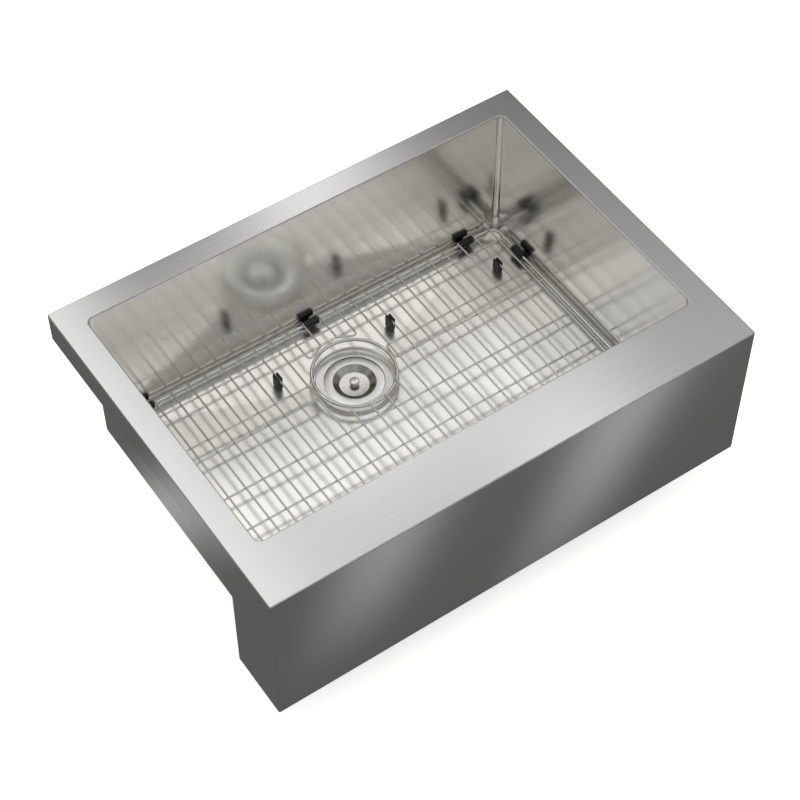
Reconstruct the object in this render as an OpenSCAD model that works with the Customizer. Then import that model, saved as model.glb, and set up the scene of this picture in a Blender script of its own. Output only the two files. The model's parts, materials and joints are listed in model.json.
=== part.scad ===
// Apron front kitchen sink with basket strainer and bottom grid.
// Origin: centre of the deck, at the height of its top face. X runs along the apron, +Y to the rear.

/* [Deck and apron] */
// Width of the sink along the apron
sink_w = 762; // [640:1:900]
// Depth from the face of the apron to the rear edge
sink_d = 558.8; // [500:1:640]
// Height of the apron
apron_h = 254; // [252:1:300]
// How far the apron's side returns reach back
return_d = 98.6; // [60:0.1:160]
// Height of the folded lip at the sides and the rear
lip_h = 49.3; // [30:0.1:80]
// Thickness of the steel sheet
sheet_t = 1.5; // [1:0.1:2]
// Radius of the upright outer corners
edge_r = 2.5; // [2.2:0.1:6]
// Width of the hem folded in under the lip
lip_hem_w = 12; // [8:1:20]
// Width of the hem folded in under the apron and behind its returns
apron_hem_w = 20; // [10:1:24]
// Radius in the notch where the lip meets the return
notch_r = 5; // [3:0.5:10]
// Gap between the lip's hem and the top of the flange behind the return
corner_relief = 2.5; // [1:0.1:6]

/* [Bowl] */
// Width of the rim at the sides
rim_side = 38.1; // [36:0.1:60]
// Width of the rim at the rear
rim_rear = 38.1; // [36:0.1:80]
// Width of the rim behind the apron
rim_front = 88.9; // [70:0.1:110]
// Radius of the bowl's upright corners and of the bend round its floor
bowl_r = 10; // [8:0.5:20]
// Depth of the floor where it meets the walls
wall_depth = 241; // [200:1:241]
// Fall of the floor from the walls to the drain
floor_fall = 7; // [4:0.5:9]
// Distance of the drain's centre from the rear wall
drain_setback = 124; // [110:0.1:180]

/* [Strainer] */
// Diameter of the throat that takes the stopper plate
throat_d = 90; // [84:0.1:96]
// Width of the strainer's flange round the throat
flange_w = 12.15; // [10:0.05:14]
// Height of the flange over its seat
flange_h = 2.6; // [2.4:0.1:3.2]
// Gap round the throat in the floor's hole
drain_hole_gap = 0.5; // [0.3:0.1:1]
// Width of the ledge that carries the basket
ledge_w = 3.2; // [3:0.1:4]
// Depth of the cup under its ledge
cup_depth = 48.9; // [46:0.1:60]
// Wall of the outlet, with its thread
outlet_wall = 3.3; // [2.5:0.1:4]
// Length of the outlet under the cup
outlet_l = 20; // [16:1:40]
// Outside diameter of the tailpiece that the outlet takes
tailpiece_d = 38.1; // [32:0.1:40]

/* [Basket and stopper] */
// Gap round the stopper plate in the throat
plate_gap = 0.5; // [0.3:0.1:1]
// Width of the plate's flat brim round its dish
plate_brim_w = 12.5; // [10:0.1:14]
// Width of the dish's sloping side
dish_side_w = 9.7; // [8:0.1:12]
// Depth of the dish
dish_depth = 7.3; // [4:0.1:9]
// Thickness of the stopper plate
plate_t = 1; // [0.8:0.1:1.4]
// Thickness of the stopper's seal
seal_t = 2.4; // [1.6:0.1:3]
// Diameter of the knob
knob_d = 14.4; // [12:0.1:24]
// Height of the knob over the dish's bottom
knob_h = 8.9; // [6:0.1:14]
// How far the stopper is pulled up to open the drain
stopper_travel = 10; // [6:0.5:12]
// Depth of the basket under its brim
basket_depth = 30; // [24:0.5:34]
// Thickness of the basket's sheet
basket_t = 0.8; // [0.6:0.1:1]
// Diameter of the holes in the basket's floor, and width of the slots in its side
basket_hole_d = 3; // [2:0.1:3.4]

/* [Bottom grid] */
// Gap from the walls to the middle of the frame wire
grid_gap = 9; // [8.5:0.5:14]
// Height of the frame wire's middle over the floor's edge
grid_rise = 13; // [12.5:0.5:24]
// Diameter of the frame wire and the drain ring
frame_wire_d = 5; // [4:0.1:5.5]
// Diameter of the long and cross wires
bar_wire_d = 3; // [2.4:0.1:3.4]
// Diameter of the lower rails
rail_wire_d = 3.5; // [3:0.1:4]
// Drop from the frame wire to the lower rails
rail_drop = 9.5; // [8:0.1:9.6]
// Radius of the frame's corners
frame_corner_r = 15; // [10:0.5:25]
// Spacing of the cross wires
cross_pitch = 28; // [22:0.5:40]
// Spacing of the long wires in front of the drain
long_pitch = 60.75; // [40:0.25:80]
// Distance of the rearmost long wire from the frame
long_rear_inset = 26.5; // [15:0.5:40]
// Half the spacing of the two long wires that end at the drain ring
long_pair_half = 13.5; // [8:0.5:20]
// How far that pair's middle lies behind the drain's centre
long_pair_shift = 1.9; // [0:0.1:5]
// Radius of the drain ring, to the middle of its wire
ring_r = 62; // [58:0.5:75]

/* [Grid rubber] */
// Width of a foot across its wire
foot_w = 9; // [7:0.5:12]
// Length of a foot along its wire
foot_l = 13; // [8:0.5:18]
// Distance of the feet from the front and rear of the frame
foot_inset = 63; // [50:0.1:80]
// Diameter of a bumper's sleeve
bumper_d = 12; // [10:0.5:14]
// Length of a bumper's sleeve
bumper_l = 23; // [16:0.5:24]
// Distance of the side bumpers from the front and rear of the frame
bumper_end_inset = 60.6; // [45:0.1:80]
// Distance of the outer bumpers from the sides of the frame, to the nearest gap between cross wires
bumper_side_inset = 52; // [40:0.5:80]

/* [Hidden] */
$fn = 96;

// One overrun for all cuts
cut = 1;
// Clearance between rubber or nylon and what it lies against
soft_gap = 0.3;
// Radial clearance of a sliding or threaded fit
fit_gap = 0.08;
// How far welded wires sink into each other
weld_lap = 0.3;

// Flats along the rounded corner of the notch
notch_steps = 4;

// Bowl, worked out from the deck and its rims
half_w = sink_w / 2;
half_d = sink_d / 2;
open_w = sink_w - 2 * rim_side;
open_d = sink_d - rim_front - rim_rear;
open_y = (rim_front - rim_rear) / 2;
open_half_w = open_w / 2;
open_rear = open_y + open_d / 2;
open_front = open_y - open_d / 2;
drain_y = open_rear - drain_setback;
floor_edge_z = -wall_depth;
apex_z = floor_edge_z - floor_fall;
// Radius of the small flat where the floor's four planes meet
apex_r = 5;
// Width of the flat seat left round the flange
seat_margin = 3;
flange_r = throat_d / 2 + flange_w;
seat_r = flange_r + seat_margin;
// Depth of the seat under the lowest point of the floor
seat_sink = 0.6;
seat_z = apex_z - seat_sink;
sheet_under_z = seat_z - sheet_t;

// Apron brackets: a web with a foot at each end
bracket_w = 40;
bracket_foot_h = 25;
bracket_t = 2;
// Distance of each bracket from the middle, as a share of the sink's width
bracket_place_share = 0.26;
// Height of the brackets, as a share of the apron's height
bracket_drop_share = 0.6;
bracket_x = sink_w * bracket_place_share;
bracket_z = -apron_h * bracket_drop_share;

// Sound pads
pad_t = 3;
// Space left between a pad and what is beside it
pad_margin = 15;
// Space kept under the deck for the support frame
pad_drop = 60;
pad_low_z = floor_edge_z + bowl_r + pad_margin;
pad_drain_space = 12;

// Strainer heights, counted down from the seat in the floor
flange_top_z = seat_z + flange_h;
// Thickness of the flange's pressed sheet
flange_t = 1;
// Drop of the flange's dished face from its outer edge to the throat
flange_dish = 1.2;
throat_top_z = flange_top_z - flange_dish;
throat_r = throat_d / 2;
throat_wall = 1;
drain_hole_r = throat_r + throat_wall + drain_hole_gap;
// Depth of the ledge that carries the basket, under the throat's top
ledge_drop = 4.9;
ledge_z = throat_top_z - ledge_drop;
cup_r = throat_r - ledge_w;
cup_wall = 1.2;
cup_floor_z = ledge_z - cup_depth;
thread_h = 1;
thread_r = cup_r + cup_wall + thread_h;
// Height of the cone between the cup and the outlet
cup_cone_h = 6;
outlet_top_z = cup_floor_z - cup_cone_h;
outlet_end_z = outlet_top_z - outlet_l;
outlet_washer_bore_r = tailpiece_d / 2 + 0.5 * soft_gap;
outlet_sleeve_t = 1.22;
outlet_bore_r = outlet_washer_bore_r + outlet_sleeve_t + fit_gap;
outlet_r = outlet_bore_r + outlet_wall;
// Bars across the outlet that catch what the basket lets through
spider_h = 3;
spider_w = 4;
spider_hub_r = 7;
flange_bead = 0.9;

// Pieces clamped under the floor, from the top down
gasket_t = 3;
gasket_w = 9.5;
gasket_r = drain_hole_r + gasket_w;
washer_t = 1;
washer_w = 7.5;
washer_r = drain_hole_r + washer_w;
lock_nut_h = 12;
lock_nut_wall = 8;
lock_nut_r = thread_r + lock_nut_wall;
lock_nut_rim_w = 3;
lock_nut_rim_r = lock_nut_r + lock_nut_rim_w;
lock_nut_rim_h = 3;
lock_nut_lug_w = 8;
lock_nut_lug_l = 4;
lock_nut_lugs = 6;
gasket_low_z = sheet_under_z - gasket_t;
washer_low_z = gasket_low_z - washer_t;
lock_nut_low_z = washer_low_z - lock_nut_h;

// Outlet washer and its nut
outlet_washer_t = 3;
outlet_washer_sleeve_l = 10;
outlet_washer_edge = 0.8;
coupling_nut_grip = 13;
coupling_nut_lip_t = 3;
coupling_nut_wall = 3;
coupling_nut_flats = 6;
coupling_nut_bore_r = outlet_washer_bore_r + soft_gap;
coupling_nut_low_z = outlet_end_z - outlet_washer_t - coupling_nut_lip_t;

// Stopper and basket, counted down from the throat
plate_drop = 0.4;
plate_top_z = throat_top_z - plate_drop;
plate_under_z = plate_top_z - plate_t;
plate_r = throat_r - plate_gap;
dish_r = plate_r - plate_brim_w;
dish_low_r = dish_r - dish_side_w;
dish_floor_z = plate_top_z - dish_depth;
seal_low_z = plate_under_z - seal_t;
// Insets of the seal from the plate's edge and from the outside of its dish
seal_edge_inset = 1.2;
seal_dish_inset = 3;
seal_out_r = plate_r - seal_edge_inset;
seal_in_r = dish_r + plate_t + seal_dish_inset;
brim_top_z = ledge_z + basket_t;
brim_gap = 0.5;
brim_r = throat_r - brim_gap;
basket_gap = 1;
basket_top_r = cup_r - basket_gap;
// How much the basket narrows from its brim to its floor
basket_taper = 6.5;
basket_low_r = basket_top_r - basket_taper;
basket_low_z = ledge_z - basket_depth;
bush_r = 6;
bush_top_h = 8;
bush_under_h = 2;
bush_lip = 2;
post_r = 3;
post_collar_r = 6;
post_collar_h = 3;
post_thread_l = 5;
clip_t = 1.2;
clip_r = 5.5;
clip_groove = 0.6;
bush_low_z = basket_low_z - bush_under_h;
clip_top_z = bush_low_z - stopper_travel - soft_gap;
post_tail_l = 1.5;
post_end_z = clip_top_z - clip_t - post_tail_l;
knob_neck_r = 3.9;
knob_head_h = 4;
knob_edge_r = 1.2;
// Circles of holes in the basket's floor: radius as a share of the floor's, and how many
floor_ring_shares = [0.5, 0.78];
floor_ring_counts = [8, 14];
// Slots in the basket's side: upper and lower end as shares of its depth, and how many pairs
slot_end_shares = [0.2, 0.75];
slot_pairs = 6;

// Bottom grid, worked out from the bowl
frame_r = frame_wire_d / 2;
bar_r = bar_wire_d / 2;
rail_r = rail_wire_d / 2;
grid_half_w = open_half_w - grid_gap;
grid_rear = open_rear - grid_gap;
grid_front = open_front + grid_gap;
grid_mid_y = (grid_rear + grid_front) / 2;
frame_z = floor_edge_z + grid_rise;
cross_z = frame_z + frame_r + bar_r - weld_lap;
long_z = cross_z - 2 * bar_r + weld_lap;
rail_z = frame_z - rail_drop;
bar_bend_r = 5;
rail_bend_r = 6;
// Distance of a rail's upturned end from the frame's corner bend
rail_end_inset = 3;
// How far the cross wires run past the middle of the frame wire
cross_overhang = 2;
cross_per_side = floor((grid_half_w - frame_wire_d - cross_pitch / 2) / cross_pitch) + 1;
cross_xs = [for (k = [0 : cross_per_side - 1]) (k + 0.5) * cross_pitch];
ring_clear = 10;
long_front_count = floor((drain_y - ring_r - ring_clear - grid_front) / long_pitch + 0.5);
long_front_ys = [for (k = [0 : long_front_count - 1]) grid_front + (k + 0.5) * long_pitch];
long_pair_y = drain_y + long_pair_shift;
long_pair_ys = [long_pair_y - long_pair_half, long_pair_y + long_pair_half];
long_rear_y = grid_rear - long_rear_inset;

// Feet and bumpers
foot_grip_h = 2.6;
foot_slot_w = 2.2;
foot_taper = 1;
foot_xs = [cross_xs[floor(cross_per_side / 4)], cross_xs[cross_per_side - 2]];
foot_ys = [grid_front + foot_inset, grid_rear - foot_inset];
bumper_stem_l = 12;
bumper_stem_t = 5.4;
bumper_under = 0.5;
bumper_x = cross_pitch * round((grid_half_w - bumper_side_inset) / cross_pitch);
bumper_xs = [-bumper_x, 0, bumper_x];
bumper_ys = [grid_front + bumper_end_inset, grid_rear - bumper_end_inset];

// Height of the sloping floor at a place
function floor_z(x, y) = apex_z + floor_fall * max(0,
    (abs(x) - apex_r) / (open_half_w - bowl_r - apex_r),
    (y - drain_y - apex_r) / (open_rear - bowl_r - drain_y - apex_r),
    (drain_y - apex_r - y) / (drain_y - apex_r - open_front - bowl_r));

// Rectangle with round corners, centred
module rounded_rect(w, d, r) {
    square([w - 2 * r, d], center = true);
    square([w, d - 2 * r], center = true);
    for (sx = [-1, 1], sy = [-1, 1])
        translate([sx * (w / 2 - r), sy * (d / 2 - r)]) circle(r);
}

// Box from its lowest and highest corners
module block(low, high) {
    translate(low) cube(high - low);
}

// Ring with a square section
module tube(r_out, r_in, low, high) {
    translate([0, 0, low]) difference() {
        cylinder(h = high - low, r = r_out);
        translate([0, 0, -cut]) cylinder(h = high - low + 2 * cut, r = r_in);
    }
}

// Straight wire between two points
module rod(p, q, r) {
    v = q - p;
    l = norm(v);
    translate(p) rotate([0, acos(v.z / l), atan2(v.y, v.x)]) cylinder(h = l, r = r, $fn = 24);
}

function unit(v) = v / norm(v);
function turn(a, b) = atan2(a.x * b.y - a.y * b.x, a * b);
// How far a bend at a corner of a route reaches along its two legs
function reach(a, b, bend_r) = bend_r * tan(abs(turn(a, b)) / 2);

// Wire bent in one flat plane: the route's points are in XY, with a round bend at each inner point
module bent_wire(points, bend_r, r) {
    last = len(points) - 1;
    dirs = [for (i = [0 : last - 1]) unit(points[i + 1] - points[i])];
    reaches = [for (i = [0 : last])
        i == 0 || i == last ? 0 : reach(dirs[i - 1], dirs[i], bend_r)];
    for (i = [0 : last - 1]) {
        p = points[i] + dirs[i] * reaches[i];
        q = points[i + 1] - dirs[i] * reaches[i + 1];
        rod([p.x, p.y, 0], [q.x, q.y, 0], r);
    }
    for (i = [1 : last - 1]) wire_bend(points[i], dirs[i - 1], dirs[i], bend_r, r);
}

// The bend at one corner of a wire's route
module wire_bend(p, a, b, bend_r, r) {
    t = turn(a, b);
    start = p - a * reach(a, b, bend_r);
    centre = start + sign(t) * bend_r * [-a.y, a.x];
    from = atan2(start.y - centre.y, start.x - centre.x);
    translate([centre.x, centre.y, 0]) rotate([0, 0, t > 0 ? from : from + t])
        rotate_extrude(angle = abs(t), $fn = 96) translate([bend_r, 0]) circle(r, $fn = 24);
}

// Points along one round bend of a route, and along the whole route
function bend_points(p, a, b, bend_r, steps) =
    let (
        t = turn(a, b),
        start = p - a * reach(a, b, bend_r),
        centre = start + sign(t) * bend_r * [-a.y, a.x],
        from = atan2(start.y - centre.y, start.x - centre.x)
    )
    [for (i = [0 : steps]) centre + bend_r * [cos(from + t * i / steps), sin(from + t * i / steps)]];

function route_points(points, bend_r, steps) = concat(
    [points[0]],
    [for (i = [1 : len(points) - 2], p = bend_points(points[i], unit(points[i] - points[i - 1]),
        unit(points[i + 1] - points[i]), bend_r, steps)) p],
    [points[len(points) - 1]]
);

// Wire swept along a route in XY in one unbroken length
module swept_wire(route, r, sides = 12) {
    last = len(route) - 1;
    dirs = [for (i = [0 : last]) unit(route[min(i + 1, last)] - route[max(i - 1, 0)])];
    skin = [for (i = [0 : last], k = [0 : sides - 1])
        let (a = k * 360 / sides)
        [route[i].x - r * cos(a) * dirs[i].y, route[i].y + r * cos(a) * dirs[i].x, r * sin(a)]];
    walls = [for (i = [0 : last - 1], k = [0 : sides - 1])
        let (n = (k + 1) % sides, a = i * sides, b = (i + 1) * sides)
        each [[b + k, b + n, a + n], [b + k, a + n, a + k]]];
    ends = [[for (k = [0 : sides - 1]) k], [for (k = [0 : sides - 1]) last * sides + sides - 1 - k]];
    polyhedron(skin, concat(walls, ends));
}

// Flat top of the sink with the bowl's opening
module deck_plate() {
    color([0.80, 0.80, 0.79]) translate([0, 0, -sheet_t]) linear_extrude(sheet_t) difference() {
        rounded_rect(sink_w, sink_d, edge_r);
        translate([0, open_y]) rounded_rect(open_w, open_d, bowl_r);
    }
}

// Outline of the upright wall round the deck's edge
module wall_outline() {
    difference() {
        rounded_rect(sink_w, sink_d, edge_r);
        rounded_rect(sink_w - 2 * sheet_t, sink_d - 2 * sheet_t, edge_r - sheet_t);
    }
}

// Outline of a hem that runs round the deck's edge, or along its sides alone
module hem_outline(w, sides_only = false) {
    difference() {
        rounded_rect(sink_w, sink_d, edge_r);
        square([sink_w - 2 * w, sides_only ? 2 * sink_d : sink_d - 2 * w], center = true);
    }
}

// The part of an outline between two places along the sink's depth, raised between two heights
module edge_part(y_low, y_high, low, high) {
    translate([0, 0, low]) linear_extrude(high - low) intersection() {
        children();
        translate([-half_w - cut, y_low]) square([sink_w + 2 * cut, y_high - y_low]);
    }
}

// Apron face, its side returns and the side lips, folded from one sheet
module apron_skirt() {
    return_y = -half_d + return_d;
    front_y = -half_d - cut;
    lip_end_y = half_d - edge_r;
    color([0.42, 0.42, 0.42]) {
        edge_part(front_y, return_y, -apron_h, -sheet_t) wall_outline();
        edge_part(front_y, return_y, -apron_h, -apron_h + sheet_t) hem_outline(apron_hem_w);
        edge_part(return_y, lip_end_y, -lip_h, -sheet_t) wall_outline();
        edge_part(return_y, lip_end_y, -lip_h, -lip_h + sheet_t) hem_outline(lip_hem_w, true);
        for (s = [0, 1]) mirror([s, 0, 0]) {
            block([half_w - apron_hem_w, return_y - sheet_t, -apron_h],
                [half_w, return_y, -lip_h - corner_relief]);
            notch_corner(return_y);
        }
    }
}

// Rounded corner in the notch between lip and return
module notch_corner(return_y) {
    translate([half_w - sheet_t, return_y, -lip_h]) rotate([90, 0, 90]) linear_extrude(sheet_t)
        polygon(concat(
            [[0, 0]],
            [for (k = [0 : notch_steps])
                let (a = 180 - k * 90 / notch_steps)
                [notch_r + notch_r * cos(a), -notch_r + notch_r * sin(a)]]
        ));
}

// Folded lip along the rear, with its hem
module rear_lip() {
    lip_y = half_d - edge_r;
    hem_y = half_d - lip_hem_w;
    color([0.42, 0.42, 0.42]) {
        edge_part(lip_y, half_d + cut, -lip_h, -sheet_t) wall_outline();
        block([-half_w + lip_hem_w, hem_y, -lip_h], [half_w - lip_hem_w, half_d, -lip_h + sheet_t]);
    }
}

// The bowl as a closed shape, grown outwards by a wall
module bowl_form(wall, top_z) {
    r = bowl_r + wall;
    x = open_half_w - bowl_r;
    y = open_d / 2 - bowl_r;
    hull() {
        for (sx = [-1, 1], sy = [-1, 1]) {
            translate([sx * x, open_y + sy * y, floor_edge_z + bowl_r]) {
                sphere(r, $fn = 32);
                cylinder(h = top_z - floor_edge_z - bowl_r, r = r, $fn = 32);
            }
        }
        translate([0, drain_y, apex_z - wall]) cylinder(h = apex_r, r = apex_r, $fn = 32);
    }
}

// Bowl with a floor of four planes that fall to the drain, and a flat seat round the drain hole
module bowl_shell() {
    color([0.66, 0.65, 0.62]) difference() {
        union() {
            bowl_form(sheet_t, -sheet_t);
            translate([0, drain_y, sheet_under_z])
                cylinder(h = floor_fall, r = seat_r + sheet_t);
        }
        bowl_form(0, cut);
        translate([0, drain_y, seat_z]) cylinder(h = floor_fall, r = seat_r);
        translate([0, drain_y, sheet_under_z - cut])
            cylinder(h = floor_fall, r = drain_hole_r);
    }
}

// Channel that ties the apron to the bowl's front wall
module apron_bracket(x) {
    apron_in = -half_d + sheet_t;
    bowl_out = open_front - sheet_t;
    color([0.55, 0.55, 0.55]) translate([x - bracket_w / 2, 0, bracket_z]) {
        block([0, apron_in, 0], [bracket_w, bowl_out, bracket_t]);
        block([0, apron_in, -bracket_foot_h], [bracket_w, apron_in + bracket_t, 0]);
        block([0, bowl_out - bracket_t, -bracket_foot_h], [bracket_w, bowl_out, 0]);
    }
}

module apron_bracket_left() {
    apron_bracket(-bracket_x);
}

module apron_bracket_right() {
    apron_bracket(bracket_x);
}

// Sound pad on an upright wall, as a box with chamfered ends left to the looks
module wall_pad(half_l, y_low, y_high) {
    color([0.16, 0.16, 0.17])
        block([-half_l, y_low, pad_low_z], [half_l, y_high, -pad_drop]);
}

module front_wall_pad() {
    wall_face = open_front - sheet_t;
    wall_pad(bracket_x - bracket_w / 2 - pad_margin, wall_face - pad_t, wall_face);
}

module rear_wall_pad() {
    wall_face = open_rear + sheet_t;
    wall_pad(open_half_w - 2 * bowl_r - pad_margin, wall_face, wall_face + pad_t);
}

// Outline of a floor pad at one side: it stays between the two creases of its plane
module side_pad_outline() {
    near = seat_r + pad_drain_space;
    far = open_half_w - bowl_r - pad_margin;
    rear_run = (drain_setback - bowl_r) / (open_half_w - bowl_r);
    front_run = (open_d - drain_setback - bowl_r) / (open_half_w - bowl_r);
    polygon([
        [near, drain_y + near * rear_run - pad_margin], [far, drain_y + far * rear_run - pad_margin],
        [far, drain_y - far * front_run + pad_margin], [near, drain_y - near * front_run + pad_margin]
    ]);
}

// Angle of the floor's side planes
side_slope = atan2(floor_fall, open_half_w - bowl_r - apex_r);
front_slope = atan2(floor_fall, drain_y - apex_r - open_front - bowl_r);

// Pad under the right side of the floor, lying on its sloping face
module side_floor_pad() {
    color([0.16, 0.16, 0.17]) translate([apex_r, 0, apex_z - sheet_t / cos(side_slope)])
        rotate([0, -side_slope, 0]) translate([-apex_r, 0, -pad_t]) linear_extrude(pad_t)
            side_pad_outline();
}

module floor_pad_right() {
    side_floor_pad();
}

module floor_pad_left() {
    mirror([1, 0, 0]) side_floor_pad();
}

// Pad under the front of the floor
module floor_pad_front() {
    near = drain_y - seat_r - pad_drain_space;
    far = open_front + bowl_r + pad_margin;
    run = (open_half_w - bowl_r) / (open_d - drain_setback - bowl_r);
    near_x = (drain_y - near) * run - 2 * pad_margin;
    far_x = (drain_y - far) * run - 2 * pad_margin;
    color([0.16, 0.16, 0.17]) translate([0, drain_y - apex_r, apex_z - sheet_t / cos(front_slope)])
        rotate([-front_slope, 0, 0]) translate([0, apex_r - drain_y, -pad_t]) linear_extrude(pad_t)
            polygon([[-near_x, near], [near_x, near], [far_x, far], [-far_x, far]]);
}

// Places what turns about the drain's axis
module at_drain() {
    translate([0, drain_y, 0]) children();
}

// Height of the flange's underside at a radius: it runs parallel to its dished face
bead_r = flange_r - flange_bead;
function flange_under_z(r) = throat_top_z - flange_t
    + flange_dish * (r - throat_r) / (bead_r - throat_r);

// Sealing ring bedded between the flange and the floor's seat
module flange_gasket() {
    in_r = drain_hole_r + flange_t;
    out_r = bead_r - 2 * flange_t;
    color([0.75, 0.74, 0.70]) at_drain() rotate_extrude() polygon([
        [in_r, seat_z], [out_r, seat_z], [out_r, flange_under_z(out_r)], [in_r, flange_under_z(in_r)]
    ]);
}

// Flange, throat, ledge, threaded cup and outlet of the strainer in one piece
module strainer_body() {
    foot_z = seat_z + 0.5 * soft_gap;
    cup_out = cup_r + cup_wall;
    throat_out = throat_r + throat_wall;
    thread_top_z = ledge_z - throat_wall;
    thread_low_z = lock_nut_low_z - lock_nut_rim_h;
    color([0.72, 0.72, 0.71]) at_drain() {
        rotate_extrude() polygon([
            [flange_r, foot_z], [flange_r, flange_top_z - flange_bead], [bead_r, flange_top_z],
            [throat_r, throat_top_z], [throat_r, ledge_z], [cup_r, ledge_z], [cup_r, cup_floor_z],
            [outlet_bore_r, outlet_top_z], [outlet_bore_r, outlet_end_z], [outlet_r, outlet_end_z],
            [outlet_r, outlet_top_z - cup_wall], [cup_out, cup_floor_z - cup_wall],
            [cup_out, thread_low_z], [thread_r, thread_low_z], [thread_r, thread_top_z],
            [throat_out, thread_top_z], [throat_out, flange_under_z(throat_out)],
            [bead_r - flange_t, flange_under_z(bead_r - flange_t)], [bead_r - flange_t, foot_z]
        ]);
        outlet_spider();
    }
}

// Crossed bars with a hub in the outlet's mouth
module outlet_spider() {
    low = outlet_top_z - spider_h;
    reach_out = 2 * outlet_bore_r + outlet_r - outlet_bore_r;
    for (a = [0, 90])
        rotate([0, 0, a]) translate([0, 0, low + spider_h / 2])
            cube([reach_out, spider_w, spider_h], center = true);
    translate([0, 0, low]) cylinder(h = spider_h, r = spider_hub_r);
}

// Rubber gasket under the floor
module sink_gasket() {
    color([0.10, 0.10, 0.10]) at_drain()
        tube(gasket_r, throat_r + throat_wall + soft_gap, gasket_low_z, sheet_under_z);
}

// Fibre washer that lets the nut turn on the gasket
module friction_washer() {
    color([0.62, 0.50, 0.36]) at_drain()
        tube(washer_r, throat_r + throat_wall + soft_gap, washer_low_z, gasket_low_z);
}

// Large nut that clamps the strainer to the floor
module lock_nut() {
    bore = thread_r + fit_gap;
    color([0.58, 0.58, 0.57]) at_drain() difference() {
        union() {
            translate([0, 0, lock_nut_low_z]) cylinder(h = lock_nut_h, r = lock_nut_r);
            translate([0, 0, washer_low_z - lock_nut_rim_h])
                cylinder(h = lock_nut_rim_h, r = lock_nut_rim_r);
            for (k = [0 : lock_nut_lugs - 1])
                rotate([0, 0, k * 360 / lock_nut_lugs])
                    block([0, -lock_nut_lug_w / 2, lock_nut_low_z],
                        [lock_nut_r + lock_nut_lug_l, lock_nut_lug_w / 2, washer_low_z]);
        }
        translate([0, 0, lock_nut_low_z - cut]) cylinder(h = lock_nut_h + 2 * cut, r = bore);
    }
}

// Flanged nylon washer that seals the tailpiece in the outlet
module tailpiece_washer() {
    color([0.90, 0.90, 0.86]) at_drain() {
        tube(outlet_r - outlet_washer_edge, outlet_washer_bore_r,
            outlet_end_z - outlet_washer_t, outlet_end_z);
        tube(outlet_bore_r - fit_gap, outlet_washer_bore_r,
            outlet_end_z, outlet_end_z + outlet_washer_sleeve_l);
    }
}

// Nut that holds the tailpiece to the outlet
module coupling_nut() {
    top_z = outlet_end_z + coupling_nut_grip;
    color([0.60, 0.60, 0.58]) at_drain() difference() {
        translate([0, 0, coupling_nut_low_z]) cylinder(h = top_z - coupling_nut_low_z,
            r = (outlet_r + coupling_nut_wall) / cos(180 / coupling_nut_flats),
            $fn = coupling_nut_flats);
        translate([0, 0, outlet_end_z - outlet_washer_t])
            cylinder(h = top_z - outlet_end_z + outlet_washer_t + cut, r = outlet_r + fit_gap);
        translate([0, 0, coupling_nut_low_z - cut])
            cylinder(h = coupling_nut_lip_t + 2 * cut, r = coupling_nut_bore_r);
    }
}

// Perforated cup that hangs on the strainer's ledge
module strainer_basket() {
    floor_top = basket_low_z + basket_t;
    wall_in_r = basket_top_r - basket_t;
    low_in_r = basket_low_r - basket_t;
    color([0.70, 0.70, 0.69]) at_drain() difference() {
        rotate_extrude() polygon([
            [0, basket_low_z], [basket_low_r, basket_low_z], [basket_top_r, ledge_z],
            [brim_r, ledge_z], [brim_r, brim_top_z], [wall_in_r, brim_top_z],
            [wall_in_r, ledge_z], [low_in_r, floor_top], [0, floor_top]
        ]);
        translate([0, 0, basket_low_z - cut]) {
            cylinder(h = basket_t + 2 * cut, r = bush_r);
            for (i = [0 : len(floor_ring_shares) - 1], k = [0 : floor_ring_counts[i] - 1])
                rotate([0, 0, k * 360 / floor_ring_counts[i]])
                    translate([low_in_r * floor_ring_shares[i], 0, 0])
                        cylinder(h = basket_t + 2 * cut, d = basket_hole_d, $fn = 16);
        }
        for (k = [0 : slot_pairs - 1])
            rotate([0, 0, (k + 0.5) * 180 / slot_pairs])
                block([-brim_r, -basket_hole_d / 2, ledge_z - basket_depth * slot_end_shares[1]],
                    [brim_r, basket_hole_d / 2, ledge_z - basket_depth * slot_end_shares[0]]);
    }
}

// Nylon bush in the basket's floor that guides the stopper's post
module basket_bush() {
    floor_top = basket_low_z + basket_t;
    bore = post_r + fit_gap;
    color([0.92, 0.92, 0.90]) at_drain() {
        tube(bush_r, bore, basket_low_z, floor_top);
        tube(bush_r + bush_lip, bore, floor_top, floor_top + bush_top_h);
        tube(bush_r + bush_lip, bore, bush_low_z, basket_low_z);
    }
}

// Dished plate that covers the drain
module stopper_plate() {
    color([0.78, 0.78, 0.77]) at_drain() rotate_extrude() polygon([
        [post_r + fit_gap, dish_floor_z], [dish_low_r, dish_floor_z], [dish_r, plate_top_z],
        [plate_r, plate_top_z], [plate_r, plate_under_z], [dish_r + plate_t / 2, plate_under_z],
        [dish_low_r + plate_t / 2, dish_floor_z - plate_t], [post_r + fit_gap, dish_floor_z - plate_t]
    ]);
}

// Rubber ring under the plate's brim
module stopper_seal() {
    color([0.09, 0.09, 0.09]) at_drain() tube(seal_out_r, seal_in_r, seal_low_z, plate_under_z);
}

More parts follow.
